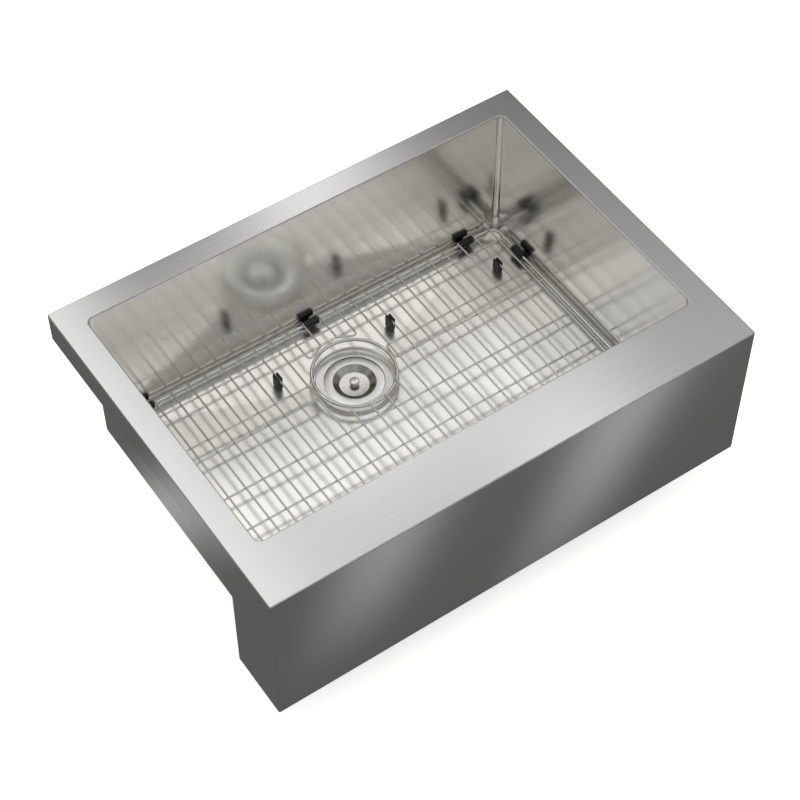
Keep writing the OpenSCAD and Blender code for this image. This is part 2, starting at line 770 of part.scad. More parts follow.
// Small round knob in the middle of the dish
module stopper_knob() {
    top = dish_floor_z + knob_h;
    head_low = top - knob_head_h;
    head_r = knob_d / 2;
    post_top = dish_floor_z + post_thread_l + fit_gap;
    color([0.82, 0.82, 0.81]) at_drain() rotate_extrude() polygon(concat(
        [[post_r + fit_gap, dish_floor_z], [knob_neck_r, dish_floor_z], [knob_neck_r, head_low]],
        [[head_r - knob_edge_r, head_low], [head_r, head_low + knob_edge_r]],
        [for (a = [0 : 15 : 90])
            [head_r - knob_edge_r + knob_edge_r * cos(a), top - knob_edge_r + knob_edge_r * sin(a)]],
        [[0, top], [0, post_top], [post_r + fit_gap, post_top]]
    ));
}

// Post that joins knob and plate and slides in the basket's bush
module stopper_post() {
    collar_top = dish_floor_z - plate_t;
    color([0.74, 0.74, 0.73]) at_drain() rotate_extrude() polygon([
        [0, dish_floor_z + post_thread_l], [post_r, dish_floor_z + post_thread_l],
        [post_r, collar_top], [post_collar_r, collar_top],
        [post_collar_r, collar_top - post_collar_h], [post_r, collar_top - post_collar_h],
        [post_r, clip_top_z], [post_r - clip_groove, clip_top_z],
        [post_r - clip_groove, clip_top_z - clip_t], [post_r, clip_top_z - clip_t],
        [post_r, post_end_z], [0, post_end_z]
    ]);
}

// Clip in the post's groove that stops the stopper's travel
module post_clip() {
    color([0.50, 0.50, 0.50]) at_drain() difference() {
        translate([0, 0, clip_top_z - clip_t]) cylinder(h = clip_t, r = clip_r);
        translate([0, 0, clip_top_z - clip_t - cut])
            cylinder(h = clip_t + 2 * cut, r = post_r - clip_groove);
        block([0, -post_r + clip_groove, clip_top_z - clip_t - cut],
            [clip_r + cut, post_r - clip_groove, clip_top_z + cut]);
    }
}

// Thick outer wire of the grid, one closed loop
module grid_frame() {
    w = grid_half_w;
    color([0.80, 0.80, 0.79]) translate([0, 0, frame_z]) bent_wire([
        [0, grid_rear], [w, grid_rear], [w, grid_front], [-w, grid_front], [-w, grid_rear], [0, grid_rear]
    ], frame_corner_r, frame_r);
}

// Wires along the sink's width, cut where the drain ring is
module grid_long_wires() {
    reach_x = grid_half_w - frame_r + weld_lap;
    color([0.78, 0.78, 0.77]) {
        for (y = concat(long_front_ys, [long_rear_y]))
            rod([-reach_x, y, long_z], [reach_x, y, long_z], bar_r);
        for (s = [-1, 1]) long_pair_loop(s, reach_x);
    }
}

// The two long wires beside the drain ring, joined there by a bend
module long_pair_loop(s, reach_x) {
    near_x = ring_r + frame_r + bar_r - weld_lap;
    translate([0, 0, long_z]) bent_wire([
        [s * reach_x, long_pair_ys[0]], [s * near_x, long_pair_ys[0]],
        [s * near_x, long_pair_ys[1]], [s * reach_x, long_pair_ys[1]]
    ], bar_bend_r, bar_r);
}

// Half the drain ring's chord at a distance from its middle
function ring_y(x) = sqrt(max(0, ring_r * ring_r - x * x));
// Line that touches the ring's outside, behind the gap between two neighbouring cross wires
link_r = ring_r + bar_r + frame_r;
function link_y(x, mid) = (link_r * link_r - mid * x) / sqrt(link_r * link_r - mid * mid);

// Wires from front to rear, on top of the long ones
module grid_cross_wires() {
    rear_end = grid_rear + cross_overhang;
    front_end = grid_front - cross_overhang;
    color([0.80, 0.80, 0.79]) for (s = [-1, 1]) {
        for (x = cross_xs) {
            rear = x < ring_r ? drain_y - ring_y(x) : rear_end;
            rod([s * x, rear, cross_z], [s * x, front_end, cross_z], bar_r);
        }
        ringed = [for (x = cross_xs) if (x < ring_r) x];
        ring_loop(s, ringed, rear_end);
    }
}

// Cross wires behind the ring: joined in a pair by a bend that touches the ring
module ring_loop(s, xs, rear_end) {
    mid = (xs[0] + xs[len(xs) - 1]) / 2;
    translate([0, 0, cross_z]) swept_wire(route_points([
        [s * xs[0], rear_end], [s * xs[0], drain_y + link_y(xs[0], mid)],
        [s * xs[len(xs) - 1], drain_y + link_y(xs[len(xs) - 1], mid)],
        [s * xs[len(xs) - 1], rear_end]
    ], bar_bend_r, 6), bar_r);
}

// Ring over the drain, of the same wire as the frame
module grid_drain_ring() {
    color([0.80, 0.80, 0.79]) at_drain() translate([0, 0, frame_z])
        rotate_extrude() translate([ring_r, 0]) circle(frame_r, $fn = 32);
}

// Wire under one side of the frame, with both ends turned up to it
module lower_rail(half_l) {
    top = rail_drop - frame_r + weld_lap;
    rotate([90, 0, 0]) bent_wire([[-half_l, top], [-half_l, 0], [half_l, 0], [half_l, top]],
        rail_bend_r, rail_r);
}

module grid_lower_rails() {
    end_x = grid_half_w - frame_corner_r - rail_end_inset;
    end_y = (grid_rear - grid_front) / 2 - frame_corner_r - rail_end_inset;
    color([0.76, 0.76, 0.75]) {
        for (y = [grid_front, grid_rear]) translate([0, y, rail_z]) lower_rail(end_x);
        for (s = [-1, 1])
            translate([s * grid_half_w, grid_mid_y, rail_z]) rotate([0, 0, 90]) lower_rail(end_y);
    }
}

// Rubber foot clipped on a cross wire, long enough to reach the sloping floor
module grid_foot(x, y) {
    under = max([for (sx = [-1, 1], sy = [-1, 1]) floor_z(x + sx * foot_w / 2, y + sy * foot_l / 2)]);
    low = under + soft_gap - cross_z;
    top = bar_r + foot_grip_h;
    w = foot_w / 2;
    translate([x, y + foot_l / 2, cross_z]) rotate([90, 0, 0]) linear_extrude(foot_l) difference() {
        polygon([
            [-w + foot_taper, low], [w - foot_taper, low], [w, low + foot_grip_h + bar_r],
            [w, top - foot_taper], [w - foot_taper, top], [-w + foot_taper, top],
            [-w, top - foot_taper], [-w, low + foot_grip_h + bar_r]
        ]);
        circle(bar_r + fit_gap, $fn = 24);
        translate([-foot_slot_w / 2, 0]) square([foot_slot_w, top + cut]);
    }
}

module grid_feet() {
    color([0.09, 0.09, 0.09]) for (s = [-1, 1], x = foot_xs, y = foot_ys) grid_foot(s * x, y);
}

// Rubber bumper on the frame wire, with a stem that grips the rail below; it lies along X
module bumper() {
    low = -rail_drop - rail_r - bumper_under;
    difference() {
        union() {
            rotate([0, 90, 0]) cylinder(h = bumper_l, r = bumper_d / 2, center = true, $fn = 32);
            block([-bumper_stem_l / 2, -bumper_stem_t / 2, low],
                [bumper_stem_l / 2, bumper_stem_t / 2, 0]);
        }
        rotate([0, 90, 0])
            cylinder(h = bumper_l + 2 * cut, r = frame_r + fit_gap, center = true, $fn = 32);
        translate([0, 0, -rail_drop]) rotate([0, 90, 0])
            cylinder(h = bumper_l, r = rail_r + fit_gap, center = true, $fn = 32);
    }
}

module grid_bumpers() {
    color([0.09, 0.09, 0.09]) {
        for (x = bumper_xs, y = [grid_front, grid_rear]) translate([x, y, frame_z]) bumper();
        for (s = [-1, 1], y = bumper_ys)
            translate([s * grid_half_w, y, frame_z]) rotate([0, 0, 90]) bumper();
    }
}

deck_plate();
apron_skirt();
rear_lip();
bowl_shell();
apron_bracket_left();
apron_bracket_right();
front_wall_pad();
rear_wall_pad();
floor_pad_left();
floor_pad_right();
floor_pad_front();
flange_gasket();
strainer_body();
sink_gasket();
friction_washer();
lock_nut();
tailpiece_washer();
coupling_nut();
strainer_basket();
basket_bush();
stopper_plate();
stopper_seal();
stopper_knob();
stopper_post();
post_clip();
grid_frame();
grid_long_wires();
grid_cross_wires();
grid_drain_ring();
grid_lower_rails();
grid_feet();
grid_bumpers();
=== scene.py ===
"""Looks of an apron front kitchen sink: steel, rubber, studio light and camera."""

import json
import logging
import math
from dataclasses import dataclass, field
from enum import Enum
from typing import Callable, Iterable, Sequence

import bmesh
import bpy
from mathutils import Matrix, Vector


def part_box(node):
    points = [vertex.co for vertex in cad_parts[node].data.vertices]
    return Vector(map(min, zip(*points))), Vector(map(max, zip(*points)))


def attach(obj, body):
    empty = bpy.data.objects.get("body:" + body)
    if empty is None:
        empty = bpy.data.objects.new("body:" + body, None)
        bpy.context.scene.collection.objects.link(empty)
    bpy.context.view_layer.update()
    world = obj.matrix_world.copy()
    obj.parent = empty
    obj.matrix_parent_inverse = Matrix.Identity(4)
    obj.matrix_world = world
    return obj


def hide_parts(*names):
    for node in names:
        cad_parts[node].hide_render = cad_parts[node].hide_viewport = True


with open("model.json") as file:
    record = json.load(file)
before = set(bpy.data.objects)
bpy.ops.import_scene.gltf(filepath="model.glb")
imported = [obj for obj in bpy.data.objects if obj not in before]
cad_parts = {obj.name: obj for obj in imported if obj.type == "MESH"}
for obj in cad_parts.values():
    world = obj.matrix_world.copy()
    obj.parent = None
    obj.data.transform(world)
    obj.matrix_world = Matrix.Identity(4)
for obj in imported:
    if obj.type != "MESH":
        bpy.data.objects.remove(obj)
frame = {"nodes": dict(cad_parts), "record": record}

LOG = logging.getLogger("sink_scene")

Flat = tuple[float, float]
Point = tuple[float, float, float]
Color = tuple[float, float, float]
Socket = bpy.types.NodeSocket
Feed = Socket | float | tuple[float, ...]

MM = 0.001
FULL_TURN = 2 * math.pi
QUARTER_TURN = math.pi / 2
CORNERS = ((1, 1), (-1, 1), (-1, -1), (1, -1))
WHITE = (1.0, 1.0, 1.0, 1.0)

BODY_OF = {
    node: body
    for body, nodes in frame["record"]["behaviour"]["bodies"].items()
    for node in nodes
}


# Sizes in millimetres, most of them measured on the frame


@dataclass(frozen=True)
class Sizes:
    """Sizes of the sink that its pieces share, in millimetres."""

    half_w: float
    half_d: float
    sheet: float
    open_half_w: float
    open_rear: float
    open_front: float
    drain_y: float
    seat_z: float
    flange_r: float
    frame_z: float
    frame_r: float
    ring_r: float
    grid_half_w: float
    grid_rear: float
    grid_front: float
    cross_z: float
    bar_r: float
    rail_low_z: float
    edge_r: float = 2.5
    bowl_r: float = 10.0
    floor_edge_z: float = -241.0
    apex_z: float = -248.0
    apex_r: float = 5.0
    seat_margin: float = 3.0
    hole_r: float = 46.5
    weld: float = 0.3

    @property
    def open_y(self) -> float:
        """Middle of the opening along y."""
        return (self.open_rear + self.open_front) / 2

    @property
    def open_half_d(self) -> float:
        """Half the opening's depth."""
        return (self.open_rear - self.open_front) / 2

    @property
    def seat_r(self) -> float:
        """Radius of the flat seat round the drain hole."""
        return self.flange_r + self.seat_margin

    @property
    def grid_middle(self) -> float:
        """Middle of the grid along y."""
        return (self.grid_rear + self.grid_front) / 2

    @property
    def long_z(self) -> float:
        """Height of the long wires' middle."""
        return self.cross_z - 2 * self.bar_r + self.weld

    def floor_z(self, x: float, y: float) -> float:
        """Height of the sloping floor at a place.

        Args:
            x: place along the apron.
            y: place along the depth.

        Returns:
            The height in millimetres.
        """
        fall = self.floor_edge_z - self.apex_z
        x_run = self.open_half_w - self.bowl_r - self.apex_r
        rear_run = self.open_rear - self.bowl_r - self.drain_y - self.apex_r
        front_run = self.drain_y - self.apex_r - self.open_front - self.bowl_r
        shares = (
            (abs(x) - self.apex_r) / x_run,
            (y - self.drain_y - self.apex_r) / rear_run,
            (self.drain_y - self.apex_r - y) / front_run,
            0.0,
        )
        return self.apex_z + fall * max(shares)


def span(node: str) -> tuple[Vector, Vector]:
    """Lowest and highest corner of a CAD node, in millimetres."""
    low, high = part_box(node)
    return low / MM, high / MM


def measured() -> Sizes:
    """Takes the shared sizes from the frame's boxes.

    Returns:
        The sizes in millimetres.
    """
    deck_low, deck_high = span("deck_plate")
    bowl_low, bowl_high = span("bowl_shell")
    body_low, body_high = span("strainer_body")
    wire_low, wire_high = span("grid_frame")
    ring_high = span("grid_drain_ring")[1]
    bar_low, bar_high = span("grid_cross_wires")
    sheet = -deck_low.z
    frame_r = (wire_high.z - wire_low.z) / 2
    return Sizes(
        half_w=deck_high.x,
        half_d=deck_high.y,
        sheet=sheet,
        open_half_w=bowl_high.x - sheet,
        open_rear=bowl_high.y - sheet,
        open_front=bowl_low.y + sheet,
        drain_y=(body_low.y + body_high.y) / 2,
        seat_z=bowl_low.z + sheet,
        flange_r=body_high.x,
        frame_z=(wire_high.z + wire_low.z) / 2,
        frame_r=frame_r,
        ring_r=ring_high.x - frame_r,
        grid_half_w=wire_high.x - frame_r,
        grid_rear=wire_high.y - frame_r,
        grid_front=wire_low.y + frame_r,
        cross_z=(bar_low.z + bar_high.z) / 2,
        bar_r=(bar_high.z - bar_low.z) / 2,
        rail_low_z=span("grid_lower_rails")[0].z,
    )


SIZES = measured()


# Nodes of materials and of geometry trees


class NodeKit:
    """Short calls for the nodes of one tree."""

    def __init__(self, tree: bpy.types.NodeTree) -> None:
        """Keeps the tree that takes the nodes."""
        self.tree = tree

    def node(
        self, kind: str, inputs: dict[str | int, Feed] | None = None, **settings: str
    ) -> bpy.types.Node:
        """A new node.

        Args:
            kind: its type.
            inputs: a socket or a value for its inputs, by their names or numbers.
            settings: its other settings, such as the operation.

        Returns:
            The node.
        """
        node = self.tree.nodes.new(kind)
        for name, value in settings.items():
            setattr(node, name, value)
        self.feed(node, inputs or {})
        return node

    def feed(self, node: bpy.types.Node, inputs: dict[str | int, Feed]) -> None:
        """Links or sets inputs of a node.

        Args:
            node: the node.
            inputs: a socket or a value for its inputs, by their names or numbers.
        """
        for name, value in inputs.items():
            if isinstance(value, Socket):
                self.tree.links.new(value, node.inputs[name])
            else:
                node.inputs[name].default_value = value

    def math(self, operation: str, *values: Feed) -> Socket:
        """The result of an operation on sockets or numbers."""
        return self.node("ShaderNodeMath", dict(enumerate(values)), operation=operation).outputs[0]

    def vector_math(self, operation: str, *values: Feed) -> Socket:
        """The result of an operation on vectors."""
        inputs = dict(enumerate(values))
        return self.node("ShaderNodeVectorMath", inputs, operation=operation).outputs[0]

    def point(self, *parts: Feed) -> Socket:
        """A vector of three sockets or numbers."""
        return self.node("ShaderNodeCombineXYZ", dict(enumerate(parts))).outputs[0]

    def parts(self, place: Socket) -> list[Socket]:
        """The three parts of a place."""
        return list(self.node("ShaderNodeSeparateXYZ", {0: place}).outputs)

    def object_place(self) -> Socket:
        """The socket of object coordinates."""
        return self.node("ShaderNodeTexCoord").outputs["Object"]

    def distance(self, x: Socket, y: Socket) -> Socket:
        """How far a flat place is from the origin."""
        square = self.math("ADD", self.math("MULTIPLY", x, x), self.math("MULTIPLY", y, y))
        return self.math("SQRT", square)

    def noise(self, place: Socket, detail: float) -> Socket:
        """Noise at a place, from 0 to 1."""
        inputs = {"Scale": 1.0, "Detail": detail, "Vector": place}
        return self.node("ShaderNodeTexNoise", inputs).outputs["Fac"]

    def map_range(
        self, value: Socket, low: float, high: float, to_low: float, to_high: float, smooth: bool = True
    ) -> Socket:
        """A value carried from one range to another.

        Args:
            value: the value.
            low: start of its range.
            high: end of its range.
            to_low: what the start becomes.
            to_high: what the end becomes.
            smooth: whether it starts and ends softly.

        Returns:
            The new value, which stays between the two ends.
        """
        kind = "SMOOTHSTEP" if smooth else "LINEAR"
        inputs = dict(enumerate((value, low, high, to_low, to_high)))
        return self.node("ShaderNodeMapRange", inputs, interpolation_type=kind).outputs[0]

    def band(self, value: Socket, low: Flat, high: Flat) -> Socket:
        """One between two places and zero outside them.

        Args:
            value: the place.
            low: where the band starts to rise and where it is full.
            high: where it starts to fall and where it is gone.

        Returns:
            The band's share, with soft ends.
        """
        rise = self.map_range(value, *low, 0.0, 1.0)
        fall = self.map_range(value, *high, 1.0, 0.0)
        return self.math("MULTIPLY", rise, fall)

    def mix_color(self, factor: Socket, a: Color, b: Color) -> Socket:
        """A color between two, which are the node's inputs 6 and 7, by a factor."""
        inputs = {0: factor, 6: (*a, 1.0), 7: (*b, 1.0)}
        return self.node("ShaderNodeMix", inputs, data_type="RGBA").outputs[2]

    def seen_or_mirrored(self, seen: Socket, mirrored: Socket) -> Socket:
        """A shader that the camera sees otherwise than steel reflects it.

        Args:
            seen: what the camera sees.
            mirrored: what lights the sink and shows in it.

        Returns:
            The mixed shader.
        """
        camera_ray = self.node("ShaderNodeLightPath").outputs["Is Camera Ray"]
        return self.node("ShaderNodeMixShader", {0: camera_ray, 1: mirrored, 2: seen}).outputs[0]


def emptied(owner: bpy.types.Material | bpy.types.World) -> NodeKit:
    """Clears the nodes of a material or world.

    Args:
        owner: the material or world.
    """
    owner.use_nodes = True
    owner.node_tree.nodes.clear()
    return NodeKit(owner.node_tree)


# Finishes


class Pattern(Enum):
    """How a finish runs over its piece."""

    LENGTHWISE = "brushed along x"
    UPRIGHT = "brushed along x on upright faces"
    SATIN = "fine satin"
    ROUND = "brushed in circles round the drain"
    WIRE = "drawn wire"
    RUBBER = "moulded rubber"
    PAD = "pressed sound pad"
    MOULDED = "moulded plastic"
    CAST = "cast metal"


@dataclass(frozen=True)
class Grain:
    """How fine a pattern's noise is: steps per metre along each axis, and its detail."""

    steps: Point
    detail: float


GRAINS = {
    Pattern.LENGTHWISE: Grain((3.0, 1400.0, 1400.0), 3.0),
    Pattern.UPRIGHT: Grain((3.0, 3.0, 1400.0), 3.0),
    Pattern.SATIN: Grain((900.0, 900.0, 900.0), 2.0),
    Pattern.WIRE: Grain((500.0, 500.0, 500.0), 3.0),
    Pattern.RUBBER: Grain((900.0, 900.0, 900.0), 5.0),
    Pattern.MOULDED: Grain((700.0, 700.0, 700.0), 4.0),
    Pattern.CAST: Grain((700.0, 700.0, 700.0), 4.0),
}


@dataclass(frozen=True)
class Finish:
    """One procedural finish.

    The color is linear, grain is the size of its variation as a share and bump its height.
    A floor_rough over zero is the roughness on the bowl's floor, where the rest has rough.
    """

    name: str
    pattern: Pattern
    color: Color
    rough: float
    metallic: float = 1.0
    aniso: float = 0.0
    grain: float = 0.05
    bump: float = 0.05
    floor_rough: float = 0.0


DECK = Finish("deck_brushed", Pattern.LENGTHWISE, (0.50, 0.50, 0.495), 0.15, aniso=0.7, grain=0.11)
APRON = Finish("apron_brushed", Pattern.UPRIGHT, (0.78, 0.78, 0.77), 0.17, aniso=0.7, grain=0.08)
BOWL = Finish(
    "bowl_satin", Pattern.SATIN, (0.86, 0.853, 0.828), 0.16, grain=0.02, bump=0.002, floor_rough=0.29
)
HIDDEN_STEEL = Finish("bracket_mill", Pattern.CAST, (0.42, 0.42, 0.42), 0.42)
STRAINER = Finish("strainer_turned", Pattern.ROUND, (0.72, 0.715, 0.70), 0.28, aniso=0.5)
STOPPER = Finish("stopper_turned", Pattern.ROUND, (0.62, 0.615, 0.60), 0.2, aniso=0.4, bump=0.1)
# Painted shade: the stopper's own steel made darker, put on the dish's sloping side to dim its reflections
STOPPER_PAINTED_SHADE = Finish("stopper_painted_shade", Pattern.ROUND, (0.33, 0.325, 0.31), 0.2, aniso=0.4, bump=0.1)
BASKET = Finish("basket_satin", Pattern.ROUND, (0.62, 0.62, 0.61), 0.3)
NUT = Finish("nut_cast", Pattern.CAST, (0.50, 0.50, 0.49), 0.45, bump=0.3)
WIRE = Finish("wire_polished", Pattern.WIRE, (0.67, 0.67, 0.655), 0.07, grain=0.03, bump=0.01)
RUBBER = Finish(
    "rubber_black", Pattern.RUBBER, (0.010, 0.010, 0.011), 0.5, metallic=0.0, grain=0.2, bump=0.3
)
SEAL = Finish(
    "rubber_seal", Pattern.RUBBER, (0.02, 0.02, 0.02), 0.6, metallic=0.0, grain=0.2, bump=0.3
)
PALE_SEAL = Finish(
    "rubber_pale", Pattern.RUBBER, (0.55, 0.54, 0.50), 0.6, metallic=0.0, grain=0.1, bump=0.3
)
FIBRE = Finish(
    "washer_fibre", Pattern.MOULDED, (0.36, 0.24, 0.13), 0.8, metallic=0.0, grain=0.25, bump=0.5
)
NYLON = Finish(
    "nylon_white", Pattern.MOULDED, (0.80, 0.80, 0.76), 0.4, metallic=0.0, grain=0.03, bump=0.1
)
PAD = Finish(
    "pad_rubber", Pattern.PAD, (0.028, 0.028, 0.03), 0.75, metallic=0.0, grain=0.25, bump=1.0
)

PAD_NODES = ("front_wall_pad", "rear_wall_pad", "floor_pad_left", "floor_pad_right", "floor_pad_front")
NODE_FINISHES = {
    node: finish
    for finish, nodes in (
        (DECK, ("deck_plate",)),
        (APRON, ("apron_skirt", "rear_lip")),
        (BOWL, ("bowl_shell",)),
        (HIDDEN_STEEL, ("apron_bracket_left", "apron_bracket_right")),
        (PAD, PAD_NODES),
        (PALE_SEAL, ("flange_gasket",)),
        (STRAINER, ("strainer_body",)),
        (SEAL, ("sink_gasket", "stopper_seal")),
        (FIBRE, ("friction_washer",)),
        (NUT, ("lock_nut", "coupling_nut")),
        (NYLON, ("tailpiece_washer", "basket_bush")),
        (BASKET, ("strainer_basket", "stopper_post", "post_clip")),
        (STOPPER, ("stopper_plate", "stopper_knob")),
        (WIRE, ("grid_frame", "grid_long_wires", "grid_cross_wires")),
        (WIRE, ("grid_drain_ring", "grid_lower_rails")),
        (RUBBER, ("grid_feet", "grid_bumpers")),
    )
    for node in nodes
}


@dataclass
class FinishShop:
    """Makes each finish once and hands it out. Steps are counted in each metre."""

    rough_spread: float = 0.1
    bump_height: float = 0.0002
    round_steps: float = 1500.0
    round_rise: float = 200.0
    round_detail: float = 2.0
    waffle_steps: float = 120.0
    tangent_lift: float = 0.01
    _made: dict[str, bpy.types.Material] = field(default_factory=dict, init=False)

    def get(self, finish: Finish) -> bpy.types.Material:
        """The material of a finish.

        Args:
            finish: what the material looks like.

        Returns:
            The material, made on the first call.
        """
        if finish.name not in self._made:
            self._made[finish.name] = self._make(finish)
        return self._made[finish.name]

    def of(self, node: str) -> bpy.types.Material:
        """The material of a CAD node."""
        return self.get(NODE_FINISHES[node])

    def _make(self, finish: Finish) -> bpy.types.Material:
        """Makes the material of a finish, on object coordinates.

        Args:
            finish: what the material looks like.

        Returns:
            The new material.
        """
        mat = bpy.data.materials.new(finish.name)
        kit = emptied(mat)
        plain = {
            "Base Color": (*finish.color, 1.0),
            "Metallic": finish.metallic,
            "Roughness": finish.rough,
            "Anisotropic": finish.aniso,
        }
        bsdf = kit.node("ShaderNodeBsdfPrincipled", plain)
        grain = self._grain(kit, finish.pattern)
        dark = tuple(c * (1 - finish.grain) for c in finish.color)
        light = tuple(min(1.0, c * (1 + finish.grain)) for c in finish.color)
        height = {"Strength": finish.bump, "Distance": self.bump_height, "Height": grain}
        varied = {
            "Base Color": kit.mix_color(grain, dark, light),
            "Roughness": self._rough(kit, finish, grain),
            "Normal": kit.node("ShaderNodeBump", height).outputs[0],
        }
        if finish.aniso:
            varied["Tangent"] = self._across_grain(kit, finish.pattern)
        kit.feed(bsdf, varied)
        kit.node("ShaderNodeOutputMaterial", {"Surface": bsdf.outputs[0]})
        return mat

    def _rough(self, kit: NodeKit, finish: Finish, grain: Socket) -> Socket:
        """The roughness of a finish, which follows its grain.

        Args:
            kit: makes the material's nodes.
            finish: what the material looks like.
            grain: the grain, from 0 to 1.

        Returns:
            The roughness, with the bowl's floor apart where the finish says so.
        """
        low, high = (finish.rough * (1 + side * self.rough_spread) for side in (-1, 1))
        rough = kit.map_range(grain, 0.0, 1.0, low, high)
        if not finish.floor_rough:
            return rough
        height = kit.parts(kit.object_place())[2]
        bend = SIZES.floor_edge_z * MM, (SIZES.floor_edge_z + SIZES.bowl_r) * MM
        share = kit.map_range(height, *bend, finish.floor_rough / finish.rough, 1.0)
        return kit.math("MULTIPLY", rough, share)

    def _grain(self, kit: NodeKit, pattern: Pattern) -> Socket:
        """The marks of a pattern.

        Args:
            kit: makes the material's nodes.
            pattern: how the marks run.

        Returns:
            Their height, from 0 to 1.
        """
        place = kit.object_place()
        if pattern is Pattern.ROUND:
            return kit.noise(self._round_place(kit, place), self.round_detail)
        if pattern is Pattern.PAD:
            return self._waffle(kit, place)
        grain = GRAINS[pattern]
        return kit.noise(kit.vector_math("MULTIPLY", place, grain.steps), grain.detail)

    def _round_place(self, kit: NodeKit, place: Socket) -> Socket:
        """A place told by its distance from the drain's axis and its height alone.

        Args:
            kit: makes the material's nodes.
            place: the place.

        Returns:
            The place, counted in steps.
        """
        x, y, z = kit.parts(place)
        radius = kit.distance(x, kit.math("SUBTRACT", y, SIZES.drain_y * MM))
        steps = kit.math("MULTIPLY", radius, self.round_steps)
        return kit.point(steps, 0.0, kit.math("MULTIPLY", z, self.round_rise))

    def _waffle(self, kit: NodeKit, place: Socket) -> Socket:
        """A pressed pattern of small squares.

        Args:
            kit: makes the material's nodes.
            place: the place.

        Returns:
            The pattern's height, from 0 to 1.
        """
        x, y, z = kit.parts(place)
        turns = self.waffle_steps * FULL_TURN
        waves = [
            kit.math("SINE", kit.math("MULTIPLY", part, turns)) for part in (x, kit.math("ADD", y, z))
        ]
        return kit.math("MULTIPLY", kit.math("ADD", kit.math("MAXIMUM", *waves), 1.0), 0.5)

    def _across_grain(self, kit: NodeKit, pattern: Pattern) -> Socket:
        """The direction across the brush marks.

        Args:
            kit: makes the material's nodes.
            pattern: how the marks run.

        Returns:
            The direction, along the surface.
        """
        if pattern is Pattern.ROUND:
            return kit.vector_math("SUBTRACT", kit.object_place(), (0.0, SIZES.drain_y * MM, 0.0))
        normal = kit.node("ShaderNodeNewGeometry").outputs["Normal"]
        cross = kit.vector_math("CROSS_PRODUCT", normal, (1.0, 0.0, 0.0))
        return kit.vector_math("ADD", cross, (0.0, 0.0, self.tangent_lift))


# Shapes


# Distances in metres below which two points are one, and below which an edge is taken out
MERGE_DIST = 1e-6
SLIVER_DIST = 1e-7

# Angles in degrees from which an edge is sharp, in a new mesh and in a rounded one
SHARP_ANGLE = 40.0
SHARP_AFTER_ROUNDING = 46.0

# Angles in degrees from which an edge is rounded, and up to which two faces are one flat face
ROUNDED_ANGLE = 35.0
FLAT_ANGLE = 1.0

# Share of a straight side between a corner's end and the side's next point
SIDE_NUDGE = 0.0008

# Steps along the bend of a wire, flats round it, the bevel at its ends in millimetres, and the
# share of its radius that is left at the ends
WIRE_BEND_STEPS = 8
WIRE_SIDES = 16
WIRE_END_BEVEL = 0.35
WIRE_END_SHARE = 0.75


class Shaper:
    """Collects points and faces in millimetres and makes them into an object."""

    def __init__(self, bm: bmesh.types.BMesh | None = None) -> None:
        """Starts from an empty mesh or from one in metres, which is used up."""
        self.bm = bmesh.new() if bm is None else bm

    def loop(self, points: Iterable[Point]) -> list[bmesh.types.BMVert]:
        """Adds points, given in millimetres, and returns them in order."""
        return [self.bm.verts.new(Vector(p) * MM) for p in points]

    def skin(self, loops: Sequence[Sequence[bmesh.types.BMVert]], back: bool = False) -> None:
        """Joins neighbouring loops, which close on themselves, with four-sided faces.

        Args:
            loops: loops of points, each as long as the next.
            back: whether the last loop joins the first.
        """
        rows = list(loops) + ([loops[0]] if back else [])
        for low, high in zip(rows, rows[1:]):
            for k, point in enumerate(low):
                n = (k + 1) % len(low)
                self.bm.faces.new((point, low[n], high[n], high[k]))

    def cap(self, loop: Sequence[bmesh.types.BMVert], flip: bool = False) -> None:
        """Closes a loop with one face."""
        self.bm.faces.new(list(reversed(loop)) if flip else list(loop))

    def make(
        self,
        name: str,
        finish: bpy.types.Material,
        sharp: Callable[[bmesh.types.BMEdge], bool] | None = None,
        sharp_angle: float = SHARP_ANGLE,
    ) -> bpy.types.Object:
        """Makes the object.

        Args:
            name: the object's name.
            finish: its material.
            sharp: says which edges stay sharp besides the steep ones.
            sharp_angle: the angle in degrees from which an edge is sharp.

        Returns:
            The new object, at the origin.
        """
        bmesh.ops.remove_doubles(self.bm, verts=self.bm.verts, dist=MERGE_DIST)
        bmesh.ops.dissolve_degenerate(self.bm, edges=self.bm.edges, dist=SLIVER_DIST)
        bmesh.ops.recalc_face_normals(self.bm, faces=self.bm.faces)
        limit = math.radians(sharp_angle)
        for edge in self.bm.edges:
            steep = len(edge.link_faces) != 2 or edge.calc_face_angle(0.0) > limit
            edge.smooth = not (steep or (sharp is not None and sharp(edge)))
        for face in self.bm.faces:
            face.smooth = True
        mesh = bpy.data.meshes.new(name)
        self.bm.to_mesh(mesh)
        self.bm.free()
        mesh.materials.append(finish)
        obj = bpy.data.objects.new(name, mesh)
        bpy.context.scene.collection.objects.link(obj)
        return obj


def circle_steps(count: int) -> list[Flat]:
    """Cosine and sine of equal steps round a full turn.

    Args:
        count: how many steps there are.

    Returns:
        Both values for each step.
    """
    angles = [FULL_TURN * k / count for k in range(count)]
    return [(math.cos(a), math.sin(a)) for a in angles]


def arc_steps(start: float, end: float, count: int) -> list[float]:
    """Angles from start to end in radians, in equal steps."""
    return [start + (end - start) * k / count for k in range(count + 1)]


def rotated(v: Vector, angle: float) -> Vector:
    """A flat vector turned anticlockwise by an angle in radians."""
    c, s = math.cos(angle), math.sin(angle)
    return Vector((v.x * c - v.y * s, v.x * s + v.y * c))


